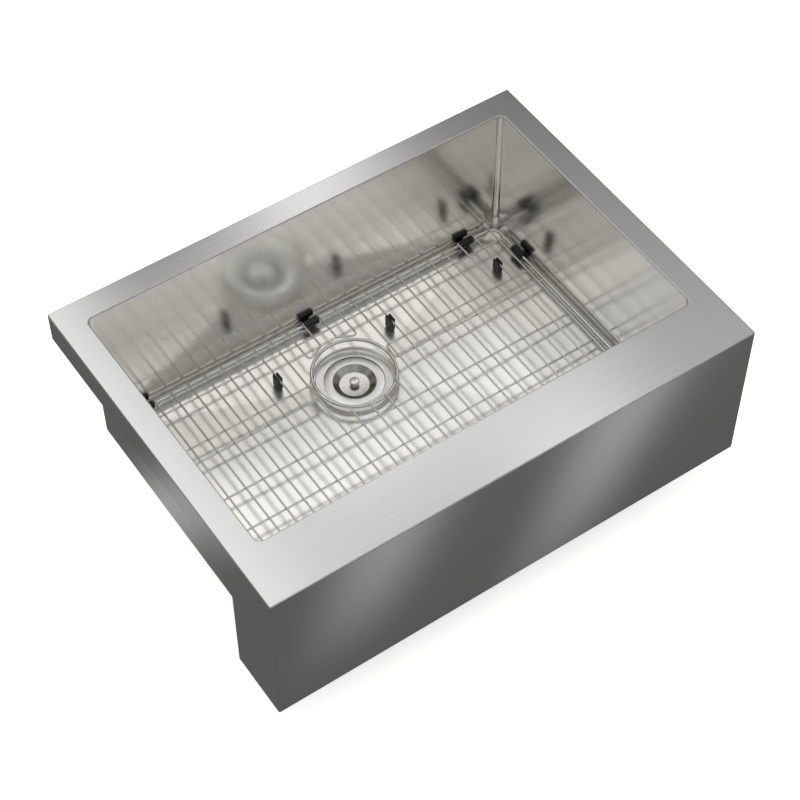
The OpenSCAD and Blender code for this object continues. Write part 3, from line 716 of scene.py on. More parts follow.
def rounded_loop(
    centre_y: float, half_x: float, half_y: float, radius: float, z: float, arc: int, run: int
) -> list[Point]:
    """Points round a rectangle with round corners.

    Args:
        centre_y: middle of the rectangle along y.
        half_x: half its width.
        half_y: half its depth.
        radius: radius of its corners, which may be zero.
        z: height of all points.
        arc: steps along each corner.
        run: steps along each straight side.

    Returns:
        The points, from the right rear corner anticlockwise as seen from above.
    """
    shares = [SIDE_NUDGE] + [k / run for k in range(1, run)] + [1 - SIDE_NUDGE]
    corners = []
    for quarter, (sx, sy) in enumerate(CORNERS):
        cx, cy = sx * (half_x - radius), centre_y + sy * (half_y - radius)
        angles = [QUARTER_TURN * (quarter + k / arc) for k in range(arc + 1)]
        corners.append([(cx + radius * math.cos(a), cy + radius * math.sin(a), z) for a in angles])
    loop: list[Point] = []
    for quarter, corner in enumerate(corners):
        p, q = corner[-1], corners[(quarter + 1) % len(corners)][0]
        loop.extend(corner)
        loop.extend((p[0] + (q[0] - p[0]) * s, p[1] + (q[1] - p[1]) * s, z) for s in shares)
    return loop


def opening_loop(grow: float, radius: float, z: float, arc: int, run: int) -> list[Point]:
    """Points round the bowl's opening.

    Args:
        grow: how far the points stand outside the opening.
        radius: radius of the corners.
        z: height of all points.
        arc: steps along each corner.
        run: steps along each straight side.

    Returns:
        The points, in the order of rounded_loop.
    """
    half_x, half_y = SIZES.open_half_w + grow, SIZES.open_half_d + grow
    return rounded_loop(SIZES.open_y, half_x, half_y, radius, z, arc, run)


def fillet(path: Sequence[Flat], radii: Sequence[float], steps: int = 5) -> list[Flat]:
    """Rounds the corners of a flat path.

    Args:
        path: points of the path, two numbers each.
        radii: radius at each point, or zero where it stays a corner.
        steps: steps along each rounded corner.

    Returns:
        The path's points with its corners rounded.
    """
    out: list[Flat] = []
    for k, (p, radius) in enumerate(zip(path, radii)):
        if not radius:
            out.append(p)
            continue
        here = Vector(p)
        a = (Vector(path[k - 1]) - here).normalized()
        b = (Vector(path[k + 1]) - here).normalized()
        half = a.angle(b) / 2
        reach = radius / math.tan(half)
        centre = here + (a + b).normalized() * (radius / math.sin(half))
        from_a, to_b = here + a * reach - centre, here + b * reach - centre
        turn = from_a.angle_signed(to_b)
        out.extend(tuple(centre + rotated(from_a, -turn * s / steps)) for s in range(steps + 1))
    return out


def bent_route(corners: Sequence[Point], radius: float, axis: int = 2) -> list[Point]:
    """A route in a flat plane with a round bend at each inner corner.

    Args:
        corners: the route's corners.
        radius: radius of each bend.
        axis: the axis that the plane is square to, as 0, 1 or 2.

    Returns:
        The route's points.
    """
    first, second = (k for k in range(3) if k != axis)
    flat = [(p[first], p[second]) for p in corners]
    radii = [0.0] + [radius] * (len(corners) - 2) + [0.0]
    out = []
    for u, v in fillet(flat, radii, WIRE_BEND_STEPS):
        point = list(corners[0])
        point[first], point[second] = u, v
        out.append(tuple(point))
    return out


def lathe(
    name: str, profile: Sequence[Flat], finish: bpy.types.Material, steps: int
) -> bpy.types.Object:
    """A closed round piece on the drain's axis.

    Args:
        name: the object's name.
        profile: radius and height of each point of its closed outline.
        finish: its material.
        steps: steps round the axis.

    Returns:
        The new object.
    """
    shaper = Shaper()
    rows = [[(r * c, SIZES.drain_y + r * s, z) for r, z in profile] for c, s in circle_steps(steps)]
    shaper.skin([shaper.loop(row) for row in rows], back=True)
    return shaper.make(name, finish)


def tube(shaper: Shaper, points: Sequence[Point], radius: float, closed: bool = False) -> None:
    """Adds a round wire along a route to a shape.

    Args:
        shaper: the shape that takes it.
        points: the route, in millimetres.
        radius: the wire's radius.
        closed: whether the route closes on itself. An open one gets bevelled ends.
    """
    route = [Vector(p) for p in points]
    count = len(route)
    rings = []
    up = Vector((0.0, 0.0, 1.0))
    for k, p in enumerate(route):
        before = route[k - 1] if k or closed else p
        after = route[(k + 1) % count] if k < count - 1 or closed else p
        along = ((p - before).normalized() + (after - p).normalized()).normalized()
        side = along.cross(up)
        if side.length < MERGE_DIST:
            side = Vector((0.0, 1.0, 0.0))
        side.normalize()
        rise = side.cross(along).normalized()
        rings.append([p + (side * c + rise * s) * radius for c, s in circle_steps(WIRE_SIDES)])
    if closed:
        shaper.skin([shaper.loop(ring) for ring in rings], back=True)
        return
    first = (route[1] - route[0]).normalized() * WIRE_END_BEVEL
    last = (route[-1] - route[-2]).normalized() * WIRE_END_BEVEL
    start, end = rings[0], rings[-1]
    rings[0] = [p + first for p in start]
    rings[-1] = [p - last for p in end]
    rings.insert(0, [route[0] + (p - route[0]) * WIRE_END_SHARE for p in start])
    rings.append([route[-1] + (p - route[-1]) * WIRE_END_SHARE for p in end])
    rows = [shaper.loop(ring) for ring in rings]
    shaper.skin(rows)
    shaper.cap(rows[0], flip=True)
    shaper.cap(rows[-1])


# Pieces that stand for CAD nodes


def settle(obj: bpy.types.Object) -> None:
    """Turns an object's modifiers into its mesh.

    Args:
        obj: the object, which keeps its name.
    """
    graph = bpy.context.evaluated_depsgraph_get()
    mesh = bpy.data.meshes.new_from_object(
        obj.evaluated_get(graph), preserve_all_data_layers=True, depsgraph=graph
    )
    obj.modifiers.clear()
    old = obj.data
    obj.data = mesh
    bpy.data.meshes.remove(old)


def stand_for(obj: bpy.types.Object, node: str) -> None:
    """Lets an object ride with a CAD node's body and show in its place.

    Args:
        obj: the finished piece.
        node: the CAD node.
    """
    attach(obj, BODY_OF[node])
    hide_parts(node)
    LOG.info("%s stands for %s", obj.name, node)


def merged_copy(node: str) -> bmesh.types.BMesh:
    """A CAD node's shape as one joined mesh with flat faces left whole.

    Args:
        node: the CAD node.

    Returns:
        The mesh, in metres.
    """
    bm = bmesh.new()
    bm.from_mesh(frame["nodes"][node].data)
    bmesh.ops.remove_doubles(bm, verts=bm.verts, dist=2 * MERGE_DIST)
    flat = math.radians(FLAT_ANGLE)
    bmesh.ops.dissolve_limit(bm, angle_limit=flat, verts=bm.verts, edges=bm.edges, delimit={"NORMAL"})
    return bm


@dataclass(frozen=True)
class Rounding:
    """How a mesh's sharp edges are rounded.

    The width is in millimetres and segments are the steps across it. The test keep_edge says
    which edges stay as they are, by their two ends in metres.
    """

    width: float
    segments: int = 2
    keep_edge: Callable[[Vector, Vector], bool] | None = None

    def takes(self, edge: bmesh.types.BMEdge) -> bool:
        """Says whether an edge is rounded.

        Args:
            edge: the edge.

        Returns:
            True for a sharp edge between two faces that keep_edge doesn't name.
        """
        if len(edge.link_faces) != 2 or edge.calc_face_angle(0.0) <= math.radians(ROUNDED_ANGLE):
            return False
        a, b = edge.verts
        return not (self.keep_edge and self.keep_edge(a.co, b.co))

    def make(self, bm: bmesh.types.BMesh, name: str, finish: bpy.types.Material) -> bpy.types.Object:
        """Rounds a mesh's sharp edges and makes it an object.

        Args:
            bm: the mesh, which is used up.
            name: the new object's name.
            finish: its material.

        Returns:
            The new object, at the origin.
        """
        bmesh.ops.bevel(
            bm,
            geom=[edge for edge in bm.edges if self.takes(edge)],
            offset=self.width * MM,
            offset_type="OFFSET",
            segments=self.segments,
            profile=0.5,
            affect="EDGES",
            clamp_overlap=True,
        )
        obj = Shaper(bm).make(name, finish, sharp_angle=SHARP_AFTER_ROUNDING)
        obj.modifiers.new("weighted", "WEIGHTED_NORMAL").keep_sharp = True
        settle(obj)
        return obj

    def replace(self, node: str, name: str, finish: bpy.types.Material) -> bpy.types.Object:
        """Shows a CAD node's shape with its sharp edges rounded, in the node's place.

        Args:
            node: the CAD node to start from.
            name: the new object's name.
            finish: its material.

        Returns:
            The new object, which replaces the node.
        """
        obj = self.make(merged_copy(node), name, finish)
        stand_for(obj, node)
        return obj


# Trees that repeat a piece


class RepeatTree:
    """A node tree that repeats its object's mesh at points, with named inputs."""

    name = "repeat"
    inputs: tuple[tuple[str, str], ...] = ()

    def __init__(self) -> None:
        """Makes the tree's inputs, its copies and its output."""
        self.tree = bpy.data.node_groups.new(self.name, "GeometryNodeTree")
        self.kit = NodeKit(self.tree)
        face = self.tree.interface
        for label, kind in (("Geometry", "Geometry"), *self.inputs, ("Finish", "Material")):
            face.new_socket(label, in_out="INPUT", socket_type=f"NodeSocket{kind}")
        face.new_socket("Geometry", in_out="OUTPUT", socket_type="NodeSocketGeometry")
        self.given = self.kit.node("NodeGroupInput").outputs
        real = self.kit.node("GeometryNodeRealizeInstances", {0: self.copies()}).outputs[0]
        dressed = {"Geometry": real, "Material": self.given["Finish"]}
        self.kit.node("NodeGroupOutput", {0: self.kit.node("GeometryNodeSetMaterial", dressed).outputs[0]})

    def copies(self) -> Socket:
        """Makes the nodes that place the copies."""
        raise NotImplementedError

    def apply(self, obj: bpy.types.Object, values: dict[str, object]) -> None:
        """Runs the tree on an object and turns the result into its mesh.

        Args:
            obj: the object with the piece that is repeated.
            values: the value of each named input.
        """
        modifier = obj.modifiers.new(self.name, "NODES")
        modifier.node_group = self.tree
        for item in self.tree.interface.items_tree:
            if item.in_out == "INPUT" and item.name in values:
                modifier[item.identifier] = values[item.name]
        settle(obj)


class RowOfWires(RepeatTree):
    """Wires side by side, each drawn out from the front to the rear or to the drain ring."""

    name = "row_of_wires"
    inputs = (
        ("Count", "Int"),
        ("Pitch", "Float"),
        ("Front", "Float"),
        ("Rear", "Float"),
        ("Height", "Float"),
        ("Ring Centre", "Float"),
        ("Ring Radius", "Float"),
    )

    def copies(self) -> Socket:
        """Places a wire of one metre at each point and scales it to its length.

        Returns:
            The wires' instances.
        """
        kit, given = self.kit, self.given
        gaps = kit.math("SUBTRACT", given["Count"], 1)
        left = kit.math("MULTIPLY", kit.math("MULTIPLY", gaps, given["Pitch"]), -0.5)
        row = {
            "Count": given["Count"],
            "Start Location": kit.point(left, given["Front"], given["Height"]),
            "Offset": kit.point(given["Pitch"], 0.0, 0.0),
        }
        line = kit.node("GeometryNodeMeshLine", row)
        x = kit.parts(kit.node("GeometryNodeInputPosition").outputs[0])[0]
        radius = given["Ring Radius"]
        rest = kit.math("SUBTRACT", kit.math("MULTIPLY", radius, radius), kit.math("MULTIPLY", x, x))
        chord = kit.math("SQRT", kit.math("MAXIMUM", rest, 0.0))
        at_ring = kit.math("SUBTRACT", given["Ring Centre"], chord)
        choice = {0: kit.math("GREATER_THAN", rest, 0.0), 1: given["Rear"], 2: at_ring}
        end = kit.node("GeometryNodeSwitch", choice, input_type="FLOAT").outputs[0]
        length = kit.math("SUBTRACT", end, given["Front"])
        copies = {
            "Points": line.outputs[0],
            "Instance": given["Geometry"],
            "Scale": kit.point(1.0, length, 1.0),
        }
        return kit.node("GeometryNodeInstanceOnPoints", copies).outputs[0]


class Spread(RepeatTree):
    """Copies at the crossings of columns and rows, all turned alike."""

    name = "spread"
    inputs = (
        ("Columns", "Int"),
        ("Rows", "Int"),
        ("Width", "Float"),
        ("Depth", "Float"),
        ("Middle", "Vector"),
        ("Turn", "Float"),
    )

    def copies(self) -> Socket:
        """Places a copy at each point of a flat grid.

        Returns:
            The copies' instances.
        """
        kit, given = self.kit, self.given
        crossings = {
            "Size X": given["Width"],
            "Size Y": given["Depth"],
            "Vertices X": given["Columns"],
            "Vertices Y": given["Rows"],
        }
        grid = kit.node("GeometryNodeMeshGrid", crossings).outputs[0]
        moved = kit.node("GeometryNodeSetPosition", {"Geometry": grid, "Offset": given["Middle"]})
        copies = {
            "Points": moved.outputs[0],
            "Instance": given["Geometry"],
            "Rotation": kit.point(0.0, 0.0, given["Turn"]),
        }
        return kit.node("GeometryNodeInstanceOnPoints", copies).outputs[0]


# The sink's pieces


@dataclass
class SheetWork:
    """Deck, apron, lips, brackets, sound pads and bowl.

    The steps of seat_slopes and seat_levels are pairs: how far outside the seat a row of points
    lies, and how far below the floor or above the seat.
    """

    shop: FinishShop
    edge_bend: float = 1.5
    opening_bend: float = 1.4
    bend_margin: float = 0.4
    bend_steps: int = 5
    least_corner: float = 0.6
    deck_arc: int = 8
    deck_run: int = 4
    bowl_arc: int = 10
    bowl_run: int = 21
    wall_steps: int = 8
    wall_margin: float = 0.6
    wall_bend_share: float = 0.985
    floor_shares: Sequence[float] = (0.0, 0.01, 0.5, 0.985)
    seat_slopes: Sequence[Flat] = ((0.9, 0.0), (0.2, 0.35))
    seat_levels: Sequence[Flat] = ((-0.1, 1.0), (-0.6, 0.25), (-1.4, 0.0))
    rim_margin: float = 1.5
    crease_half_w: float = 1.5
    crease_rise: float = 1.0
    crease_step: float = 4.0
    apron_edge: float = 0.7
    lip_edge: float = 0.6
    fold_segments: int = 3
    bracket_edge: float = 0.5
    pad_edge: float = 1.2
    top_share: float = 1.05
    joint_gap: float = 0.01

    def build(self) -> None:
        """Makes all sheet pieces."""
        self.deck()
        self.bowl()
        folds = (("apron_skirt", "apron", self.apron_edge), ("rear_lip", "lip_rear", self.lip_edge))
        for node, name, width in folds:
            rounding = Rounding(width, self.fold_segments, self.meets_deck_or_lip)
            rounding.replace(node, name, self.shop.of(node))
        for side in ("left", "right"):
            node = f"apron_bracket_{side}"
            Rounding(self.bracket_edge).replace(node, f"bracket_{side}", self.shop.of(node))
        for node in PAD_NODES:
            Rounding(self.pad_edge).replace(node, f"{node}_pressed", self.shop.of(node))

    def meets_deck_or_lip(self, a: Vector, b: Vector) -> bool:
        """Says whether an edge of the apron or the lip lies against its neighbour.

        Args:
            a: one end, in metres.
            b: the other end.

        Returns:
            True for an edge under the deck or where the side lips meet the rear lip.
        """
        top = -SIZES.sheet * self.top_share
        joint_y = SIZES.half_d - SIZES.edge_r
        ends = (a / MM, b / MM)
        if all(p.z > top for p in ends):
            return True
        return all(abs(p.y - joint_y) < self.joint_gap for p in ends)

    def deck(self) -> None:
        """Makes the deck with its rounded outer edge and its bend into the bowl."""
        steps = self.deck_arc, self.deck_run
        r, q = self.edge_bend, self.opening_bend

        def outer(inset: float, z: float) -> list[Point]:
            """Points round the deck's outer edge, set in from it."""
            half_x, half_y = SIZES.half_w - inset, SIZES.half_d - inset
            return rounded_loop(0, half_x, half_y, max(SIZES.edge_r - inset, self.least_corner), z, *steps)

        def inner(grow: float, z: float) -> list[Point]:
            """Points round the opening, set back from it."""
            return opening_loop(grow, SIZES.bowl_r + grow, z, *steps)

        rows = [outer(0, -SIZES.sheet)]
        for a in arc_steps(0, QUARTER_TURN, self.bend_steps):
            rows.append(outer(r - r * math.cos(a), -r + r * math.sin(a)))
        rows.append(outer(r + self.bend_margin, 0))
        rows.append(inner(q + self.bend_margin, 0))
        for a in arc_steps(QUARTER_TURN, 0, self.bend_steps):
            rows.append(inner(q - q * math.cos(a), -q + q * math.sin(a)))
        rows.append(inner(0, -SIZES.sheet))
        shaper = Shaper()
        shaper.skin([shaper.loop(row) for row in rows], back=True)
        stand_for(shaper.make("deck", self.shop.get(DECK)), "deck_plate")

    def bowl(self) -> None:
        """Makes the bowl: walls, rounded corners, four floor planes and the drain's seat."""
        rows = self._bowl_side(0.0) + list(reversed(self._bowl_side(SIZES.sheet)))
        shaper = Shaper()
        shaper.skin([shaper.loop(row) for row in rows], back=True)
        piece = shaper.make("bowl", self.shop.get(BOWL), sharp=self._on_crease)
        stand_for(piece, "bowl_shell")

    def _crease_ways(self) -> list[Vector]:
        """The way from the drain to each corner of the floor.

        Returns:
            Four flat vectors, in the order of the corners.
        """
        x = SIZES.open_half_w - SIZES.bowl_r
        y = SIZES.open_half_d - SIZES.bowl_r
        shift = SIZES.open_y - SIZES.drain_y
        return [Vector((sx * x, shift + sy * y)) for sx, sy in CORNERS]

    def _on_crease(self, edge: bmesh.types.BMEdge) -> bool:
        """Says whether an edge lies on a crease of the floor.

        Args:
            edge: an edge of the bowl.

        Returns:
            True for a long edge of the floor that runs from the drain to a corner.
        """
        a, b = (vert.co / MM for vert in edge.verts)
        if max(a.z, b.z) > SIZES.floor_edge_z + self.crease_rise or (a - b).length < self.crease_step:
            return False
        ends = [Vector((p.x, p.y - SIZES.drain_y)) for p in (a, b)]
        for way in self._crease_ways():
            off = max(abs(p.x * way.y - p.y * way.x) / way.length for p in ends)
            if off < self.crease_half_w and ends[0].dot(way) > 0:
                return True
        return False

    def _bowl_side(self, wall: float) -> list[list[Point]]:
        """One side of the bowl, from its top down to the drain hole.

        Args:
            wall: how far the side stands outside the bowl's inner face.

        Returns:
            Rows of points, each as long as the next.
        """
        steps = self.bowl_arc, self.bowl_run
        r = SIZES.bowl_r + wall
        bend_z = SIZES.floor_edge_z + SIZES.bowl_r
        rows = [opening_loop(wall, r, z, *steps) for z in (-SIZES.sheet, bend_z + self.wall_margin)]
        for a in arc_steps(0, QUARTER_TURN * self.wall_bend_share, self.wall_steps):
            drawn_in = wall - r * (1 - math.cos(a))
            rows.append(opening_loop(drawn_in, r * math.cos(a), bend_z - r * math.sin(a), *steps))
        edge = [(x, y) for x, y, _ in opening_loop(-SIZES.bowl_r, 0.0, 0.0, *steps)]
        rim = self._rim_row(len(edge))
        for share in self.floor_shares:
            row = [(x + (u - x) * share, y + (v - y) * share) for (x, y), (u, v) in zip(edge, rim)]
            rows.append([(x, y, SIZES.floor_z(x, y) - wall) for x, y in row])
        for grow, drop in self.seat_slopes:
            row = self._circle_row(rim, SIZES.seat_r + grow + wall)
            rows.append([(x, y, SIZES.floor_z(x, y) - (drop + wall)) for x, y in row])
        for grow, rise in self.seat_levels:
            row = self._circle_row(rim, SIZES.seat_r + grow + wall)
            rows.append([(x, y, SIZES.seat_z - wall + rise) for x, y in row])
        rows.append([(x, y, SIZES.seat_z - wall) for x, y in self._circle_row(rim, SIZES.hole_r)])
        return rows

    def _rim_row(self, count: int) -> list[Flat]:
        """Places round the seat's edge that belong to the places round the floor's edge.

        Args:
            count: how many places there are.

        Returns:
            The places, in the order of rounded_loop.
        """
        angles = [math.atan2(way.y, way.x) for way in self._crease_ways()]
        radius = SIZES.seat_r + self.rim_margin
        out: list[Flat] = []
        for k in range(count):
            side = ((k - self.bowl_arc // 2) % count) * len(angles) / count
            quarter = int(side)
            a, b = angles[quarter], angles[(quarter + 1) % len(angles)]
            if b < a:
                b += FULL_TURN
            t = a + (b - a) * (side - quarter)
            out.append((radius * math.cos(t), SIZES.drain_y + radius * math.sin(t)))
        return out

    def _circle_row(self, rim: Sequence[Flat], radius: float) -> list[Flat]:
        """The rim's places moved to a circle round the drain.

        Args:
            rim: places round the seat's edge.
            radius: the circle's radius.

        Returns:
            The places on the circle.
        """
        ways = [Vector((x, y - SIZES.drain_y)).normalized() * radius for x, y in rim]
        return [(way.x, SIZES.drain_y + way.y) for way in ways]


@dataclass
class DrainWork:
    """Strainer, basket and stopper.

    Heights of the knob are counted from the floor of the stopper's dish. The plate's and the
    knob's bends are the radii at the points of their outlines.
    """

    shop: FinishShop
    turned_edges: Sequence[tuple[str, float]] = (
        ("strainer_body", 0.35),
        ("lock_nut", 0.5),
        ("coupling_nut", 0.5),
        ("strainer_basket", 0.15),
        ("sink_gasket", 0.4),
        ("friction_washer", 0.2),
        ("tailpiece_washer", 0.2),
        ("flange_gasket", 0.2),
        ("basket_bush", 0.3),
        ("stopper_seal", 0.4),
        ("post_clip", 0.15),
        ("stopper_post", 0.3),
    )
    bead_r: float = 56.25
    throat_r: float = 45.0
    face_depth: float = 1.7
    face_lift: float = 0.85
    bore_r: float = 3.08
    dish_depth: float = 7.3
    dish_floor_r: float = 22.3
    dish_top_r: float = 32.0
    brim_r: float = 44.5
    plate: float = 1.0
    under_floor_r: float = 22.8
    under_top_r: float = 32.5
    plate_bends: Sequence[float] = (0.0, 1.6, 1.6, 0.35, 0.35, 1.2, 1.2, 0.0)
    plate_steps: int = 128
    # Where the painted shade lies: between these radii, on faces whose normal points up more than the tilt
    painted_shade_in_r: float = 22.4
    painted_shade_out_r: float = 31.9
    painted_shade_tilt: float = 0.5
    neck_r: float = 3.9
    neck_top: float = 4.9
    knob_r: float = 7.2
    knob_top: float = 8.9
    knob_flat_r: float = 0.4
    socket_top: float = 5.08
    knob_bends: Sequence[float] = (0.0, 0.2, 0.6, 0.9, 1.5, 0.0, 0.0, 0.0)
    knob_steps: int = 64

    def build(self) -> None:
        """Makes the drain's pieces."""
        top = span("stopper_plate")[1].z
        self.stopper_plate(top)
        self.knob(top - self.dish_depth)
        for node, width in self.turned_edges:
            piece = Rounding(width).replace(node, f"{node}_piece", self.shop.of(node))
            if node == "strainer_body":
                self._flatten_flange(piece)

    def stopper_plate(self, top: float) -> None:
        """Makes the dished plate, with painted shade on the dish's sloping side: its upward faces take a
        darker copy of the stopper's steel.

        Args:
            top: height of the brim's upper face.
        """
        dish = top - self.dish_depth
        under, dish_under = top - self.plate, dish - self.plate
        outline = (
            (self.bore_r, dish),
            (self.dish_floor_r, dish),
            (self.dish_top_r, top),
            (self.brim_r, top),
            (self.brim_r, under),
            (self.under_top_r, under),
            (self.under_floor_r, dish_under),
            (self.bore_r, dish_under),
        )
        profile = fillet(outline, self.plate_bends)
        piece = lathe("stopper_dish", profile, self.shop.get(STOPPER), self.plate_steps)
        # Painted shade: the upward faces of the dish's sloping side take the darker copy of the steel
        piece.data.materials.append(self.shop.get(STOPPER_PAINTED_SHADE))
        for face in piece.data.polygons:
            x, y, _ = face.center / MM
            radius = math.hypot(x, y - SIZES.drain_y)
            if face.normal.z > self.painted_shade_tilt and self.painted_shade_in_r < radius < self.painted_shade_out_r:
                face.material_index = 1
        stand_for(piece, "stopper_plate")

    def knob(self, dish: float) -> None:
        """Makes the knob with the socket that takes the post.

        Args:
            dish: height of the dish's floor, where the knob stands.
        """
        outline = (
            (self.bore_r, dish),
            (self.neck_r, dish),
            (self.neck_r, dish + self.neck_top),
            (self.knob_r, dish + self.neck_top),
            (self.knob_r, dish + self.knob_top),
            (self.knob_flat_r, dish + self.knob_top),
            (self.knob_flat_r, dish + self.socket_top),
            (self.bore_r, dish + self.socket_top),
        )
        profile = fillet(outline, self.knob_bends)
        stand_for(lathe("knob", profile, self.shop.get(STOPPER), self.knob_steps), "stopper_knob")

    def _flatten_flange(self, piece: bpy.types.Object) -> None:
        """Raises the inner edge of the flange's face, which is nearly flat on the real one.

        Args:
            piece: the strainer's piece, with its face dished from the bead to the throat.
        """
        low = span("strainer_body")[1].z - self.face_depth
        for vert in piece.data.vertices:
            x, y, z = vert.co / MM
            radius = math.hypot(x, y - SIZES.drain_y)
            if z > low and radius < self.bead_r:
                share = (self.bead_r - radius) / (self.bead_r - self.throat_r)
                vert.co.z += self.face_lift * min(1.0, share) * MM


@dataclass
class GridWork:
    """The bottom grid's wires and rubber."""

    shop: FinishShop
    corner_r: float = 15.0
    frame_arc: int = 12
    frame_run: int = 6
    ring_steps: int = 96
    rail_r: float = 1.75
    rail_bend_r: float = 6.0
    rail_inset: float = 3.0
    loop_bend_r: float = 5.0
    overhang: float = 2.0
    cross_pitch: float = 28.0
    cross_count: int = 24
    long_pitch: float = 60.75
    long_count: int = 4
    long_rear_inset: float = 26.5
    pair_half: float = 13.5
    pair_shift: float = 1.9
    foot_edge: float = 0.7
    bumper_edge: float = 0.8
    bumper_segments: int = 3
    bumper_columns: int = 3
    side_margin: float = 5.0

    def build(self) -> None:
        """Makes the grid."""
        self.frame_wire()
        self.ring()
        self.long_wires()
        self.cross_wires()
        self.rails()
        Rounding(self.foot_edge).replace("grid_feet", "feet", self.shop.of("grid_feet"))
        self.bumpers()

    def wires(self, name: str, node: str, routes: Iterable[Sequence[Point]], radius: float) -> None:
        """Makes open wires as one piece.

        Args:
            name: the piece's name.
            node: the CAD node that it stands for.
            routes: the route of each wire.
            radius: the wires' radius.
        """
        shaper = Shaper()
        for route in routes:
            tube(shaper, route, radius)
        stand_for(shaper.make(name, self.shop.of(node)), node)

    def hoop(self, name: str, node: str, route: Sequence[Point]) -> None:
        """Makes a closed wire of the frame's thickness.

        Args:
            name: the piece's name.
            node: the CAD node that it stands for.
            route: the wire's route.
        """
        shaper = Shaper()
        tube(shaper, route, SIZES.frame_r, closed=True)
        stand_for(shaper.make(name, self.shop.of(node)), node)

    def frame_wire(self) -> None:
        """Makes the closed outer wire."""
        s = SIZES
        size = (s.grid_half_w, (s.grid_rear - s.grid_front) / 2, self.corner_r)
        route = rounded_loop(s.grid_middle, *size, s.frame_z, self.frame_arc, self.frame_run)
        self.hoop("frame_wire", "grid_frame", route)

    def ring(self) -> None:
        """Makes the ring over the drain."""
        r, y = SIZES.ring_r, SIZES.drain_y
        route = [(r * cos, y + r * sin, SIZES.frame_z) for cos, sin in circle_steps(self.ring_steps)]
        self.hoop("drain_ring", "grid_drain_ring", route)

    def long_wires(self) -> None:
        """Makes the wires along the width, with the pair that loops beside the ring."""
        s = SIZES
        reach = s.grid_half_w - s.frame_r + s.weld
        front = [s.grid_front + (k + 0.5) * self.long_pitch for k in range(self.long_count)]
        rows = (*front, s.grid_rear - self.long_rear_inset)
        routes = [[(x, y, s.long_z) for x in (-reach, 0, reach)] for y in rows]
        pair = s.drain_y + self.pair_shift
        near = s.ring_r + s.frame_r + s.bar_r - s.weld
        for side in (-1, 1):
            low, high = pair - self.pair_half, pair + self.pair_half
            ends = ((reach, low), (near, low), (near, high), (reach, high))
            routes.append(bent_route([(side * x, y, s.long_z) for x, y in ends], self.loop_bend_r))
        self.wires("long_wires", "grid_long_wires", routes, s.bar_r)

    def cross_wires(self) -> None:
        """Repeats the wires from front to rear, and makes the pairs that loop behind the ring."""
        s = SIZES
        rear, front = s.grid_rear + self.overhang, s.grid_front - self.overhang
        finish = self.shop.of("grid_cross_wires")
        shaper = Shaper()
        tube(shaper, [(0, share / MM, 0) for share in (0.0, 0.5, 1.0)], s.bar_r)
        straight = shaper.make("cross_wires", finish)
        values = {
            "Count": self.cross_count,
            "Pitch": self.cross_pitch * MM,
            "Front": front * MM,
            "Rear": rear * MM,
            "Height": s.cross_z * MM,
            "Ring Centre": s.drain_y * MM,
            "Ring Radius": s.ring_r * MM,
            "Finish": finish,
        }
        RowOfWires().apply(straight, values)
        stand_for(straight, "grid_cross_wires")
        link_r = s.ring_r + s.bar_r + s.frame_r
        near = [(k + 0.5) * self.cross_pitch for k in range(self.cross_count // 2)]
        near = [x for x in near if x < s.ring_r]
        middle = (near[0] + near[-1]) / 2
        flat = math.sqrt(link_r**2 - middle**2)
        low, high = (s.drain_y + (link_r**2 - middle * x) / flat for x in (near[0], near[-1]))
        ends = ((near[0], rear), (near[0], low), (near[-1], high), (near[-1], rear))
        routes = [
            bent_route([(side * x, y, s.cross_z) for x, y in ends], self.loop_bend_r) for side in (-1, 1)
        ]
        self.wires("looped_wires", "grid_cross_wires", routes, s.bar_r)

    def rails(self) -> None:
        """Makes the wires under the frame, with their ends turned up to it."""
        s = SIZES
        low, top = s.rail_low_z + self.rail_r, s.frame_z - s.frame_r + s.weld
        inset = self.corner_r + self.rail_inset
        half_x = s.grid_half_w - inset
        half_y = (s.grid_rear - s.grid_front) / 2 - inset
        routes = []
        for y in (s.grid_front, s.grid_rear):
            ends = ((-half_x, top), (-half_x, low), (half_x, low), (half_x, top))
            routes.append(bent_route([(x, y, z) for x, z in ends], self.rail_bend_r, axis=1))
        front, rear = s.grid_middle - half_y, s.grid_middle + half_y
        for x in (-s.grid_half_w, s.grid_half_w):
            ends = ((front, top), (front, low), (rear, low), (rear, top))
            routes.append(bent_route([(x, y, z) for y, z in ends], self.rail_bend_r, axis=0))
        self.wires("lower_rails", "grid_lower_rails", routes, self.rail_r)

    def bumpers(self) -> None:
        """Repeats one rubber bumper along the front and rear of the frame and at its sides."""
        s = SIZES
        places = self._bumper_places()
        side_x = s.grid_half_w - self.side_margin
        ends = [p for p in places if abs(p.x) < side_x]
        sides = [p for p in places if abs(p.x) > side_x]
        end_size = (2 * max(p.x for p in ends), s.grid_rear - s.grid_front)
        side_size = (2 * s.grid_half_w, max(p.y for p in sides) - min(p.y for p in sides))
        rows = (
            ("bumpers_front_rear", self.bumper_columns, ends, end_size, 0.0),
            ("bumpers_sides", 2, sides, side_size, QUARTER_TURN),
        )
        finish = self.shop.of("grid_bumpers")
        for name, count, group, (wide, deep), turn in rows:
            middle = (max(p.y for p in group) + min(p.y for p in group)) / 2
            rounding = Rounding(self.bumper_edge, self.bumper_segments)
            clip = rounding.make(self._one_bumper(), name, finish)
            values = {
                "Columns": count,
                "Rows": 2,
                "Width": wide * MM,
                "Depth": deep * MM,
                "Middle": (0.0, middle * MM, s.frame_z * MM),
                "Turn": turn,
                "Finish": finish,
            }
            Spread().apply(clip, values)
            stand_for(clip, "grid_bumpers")

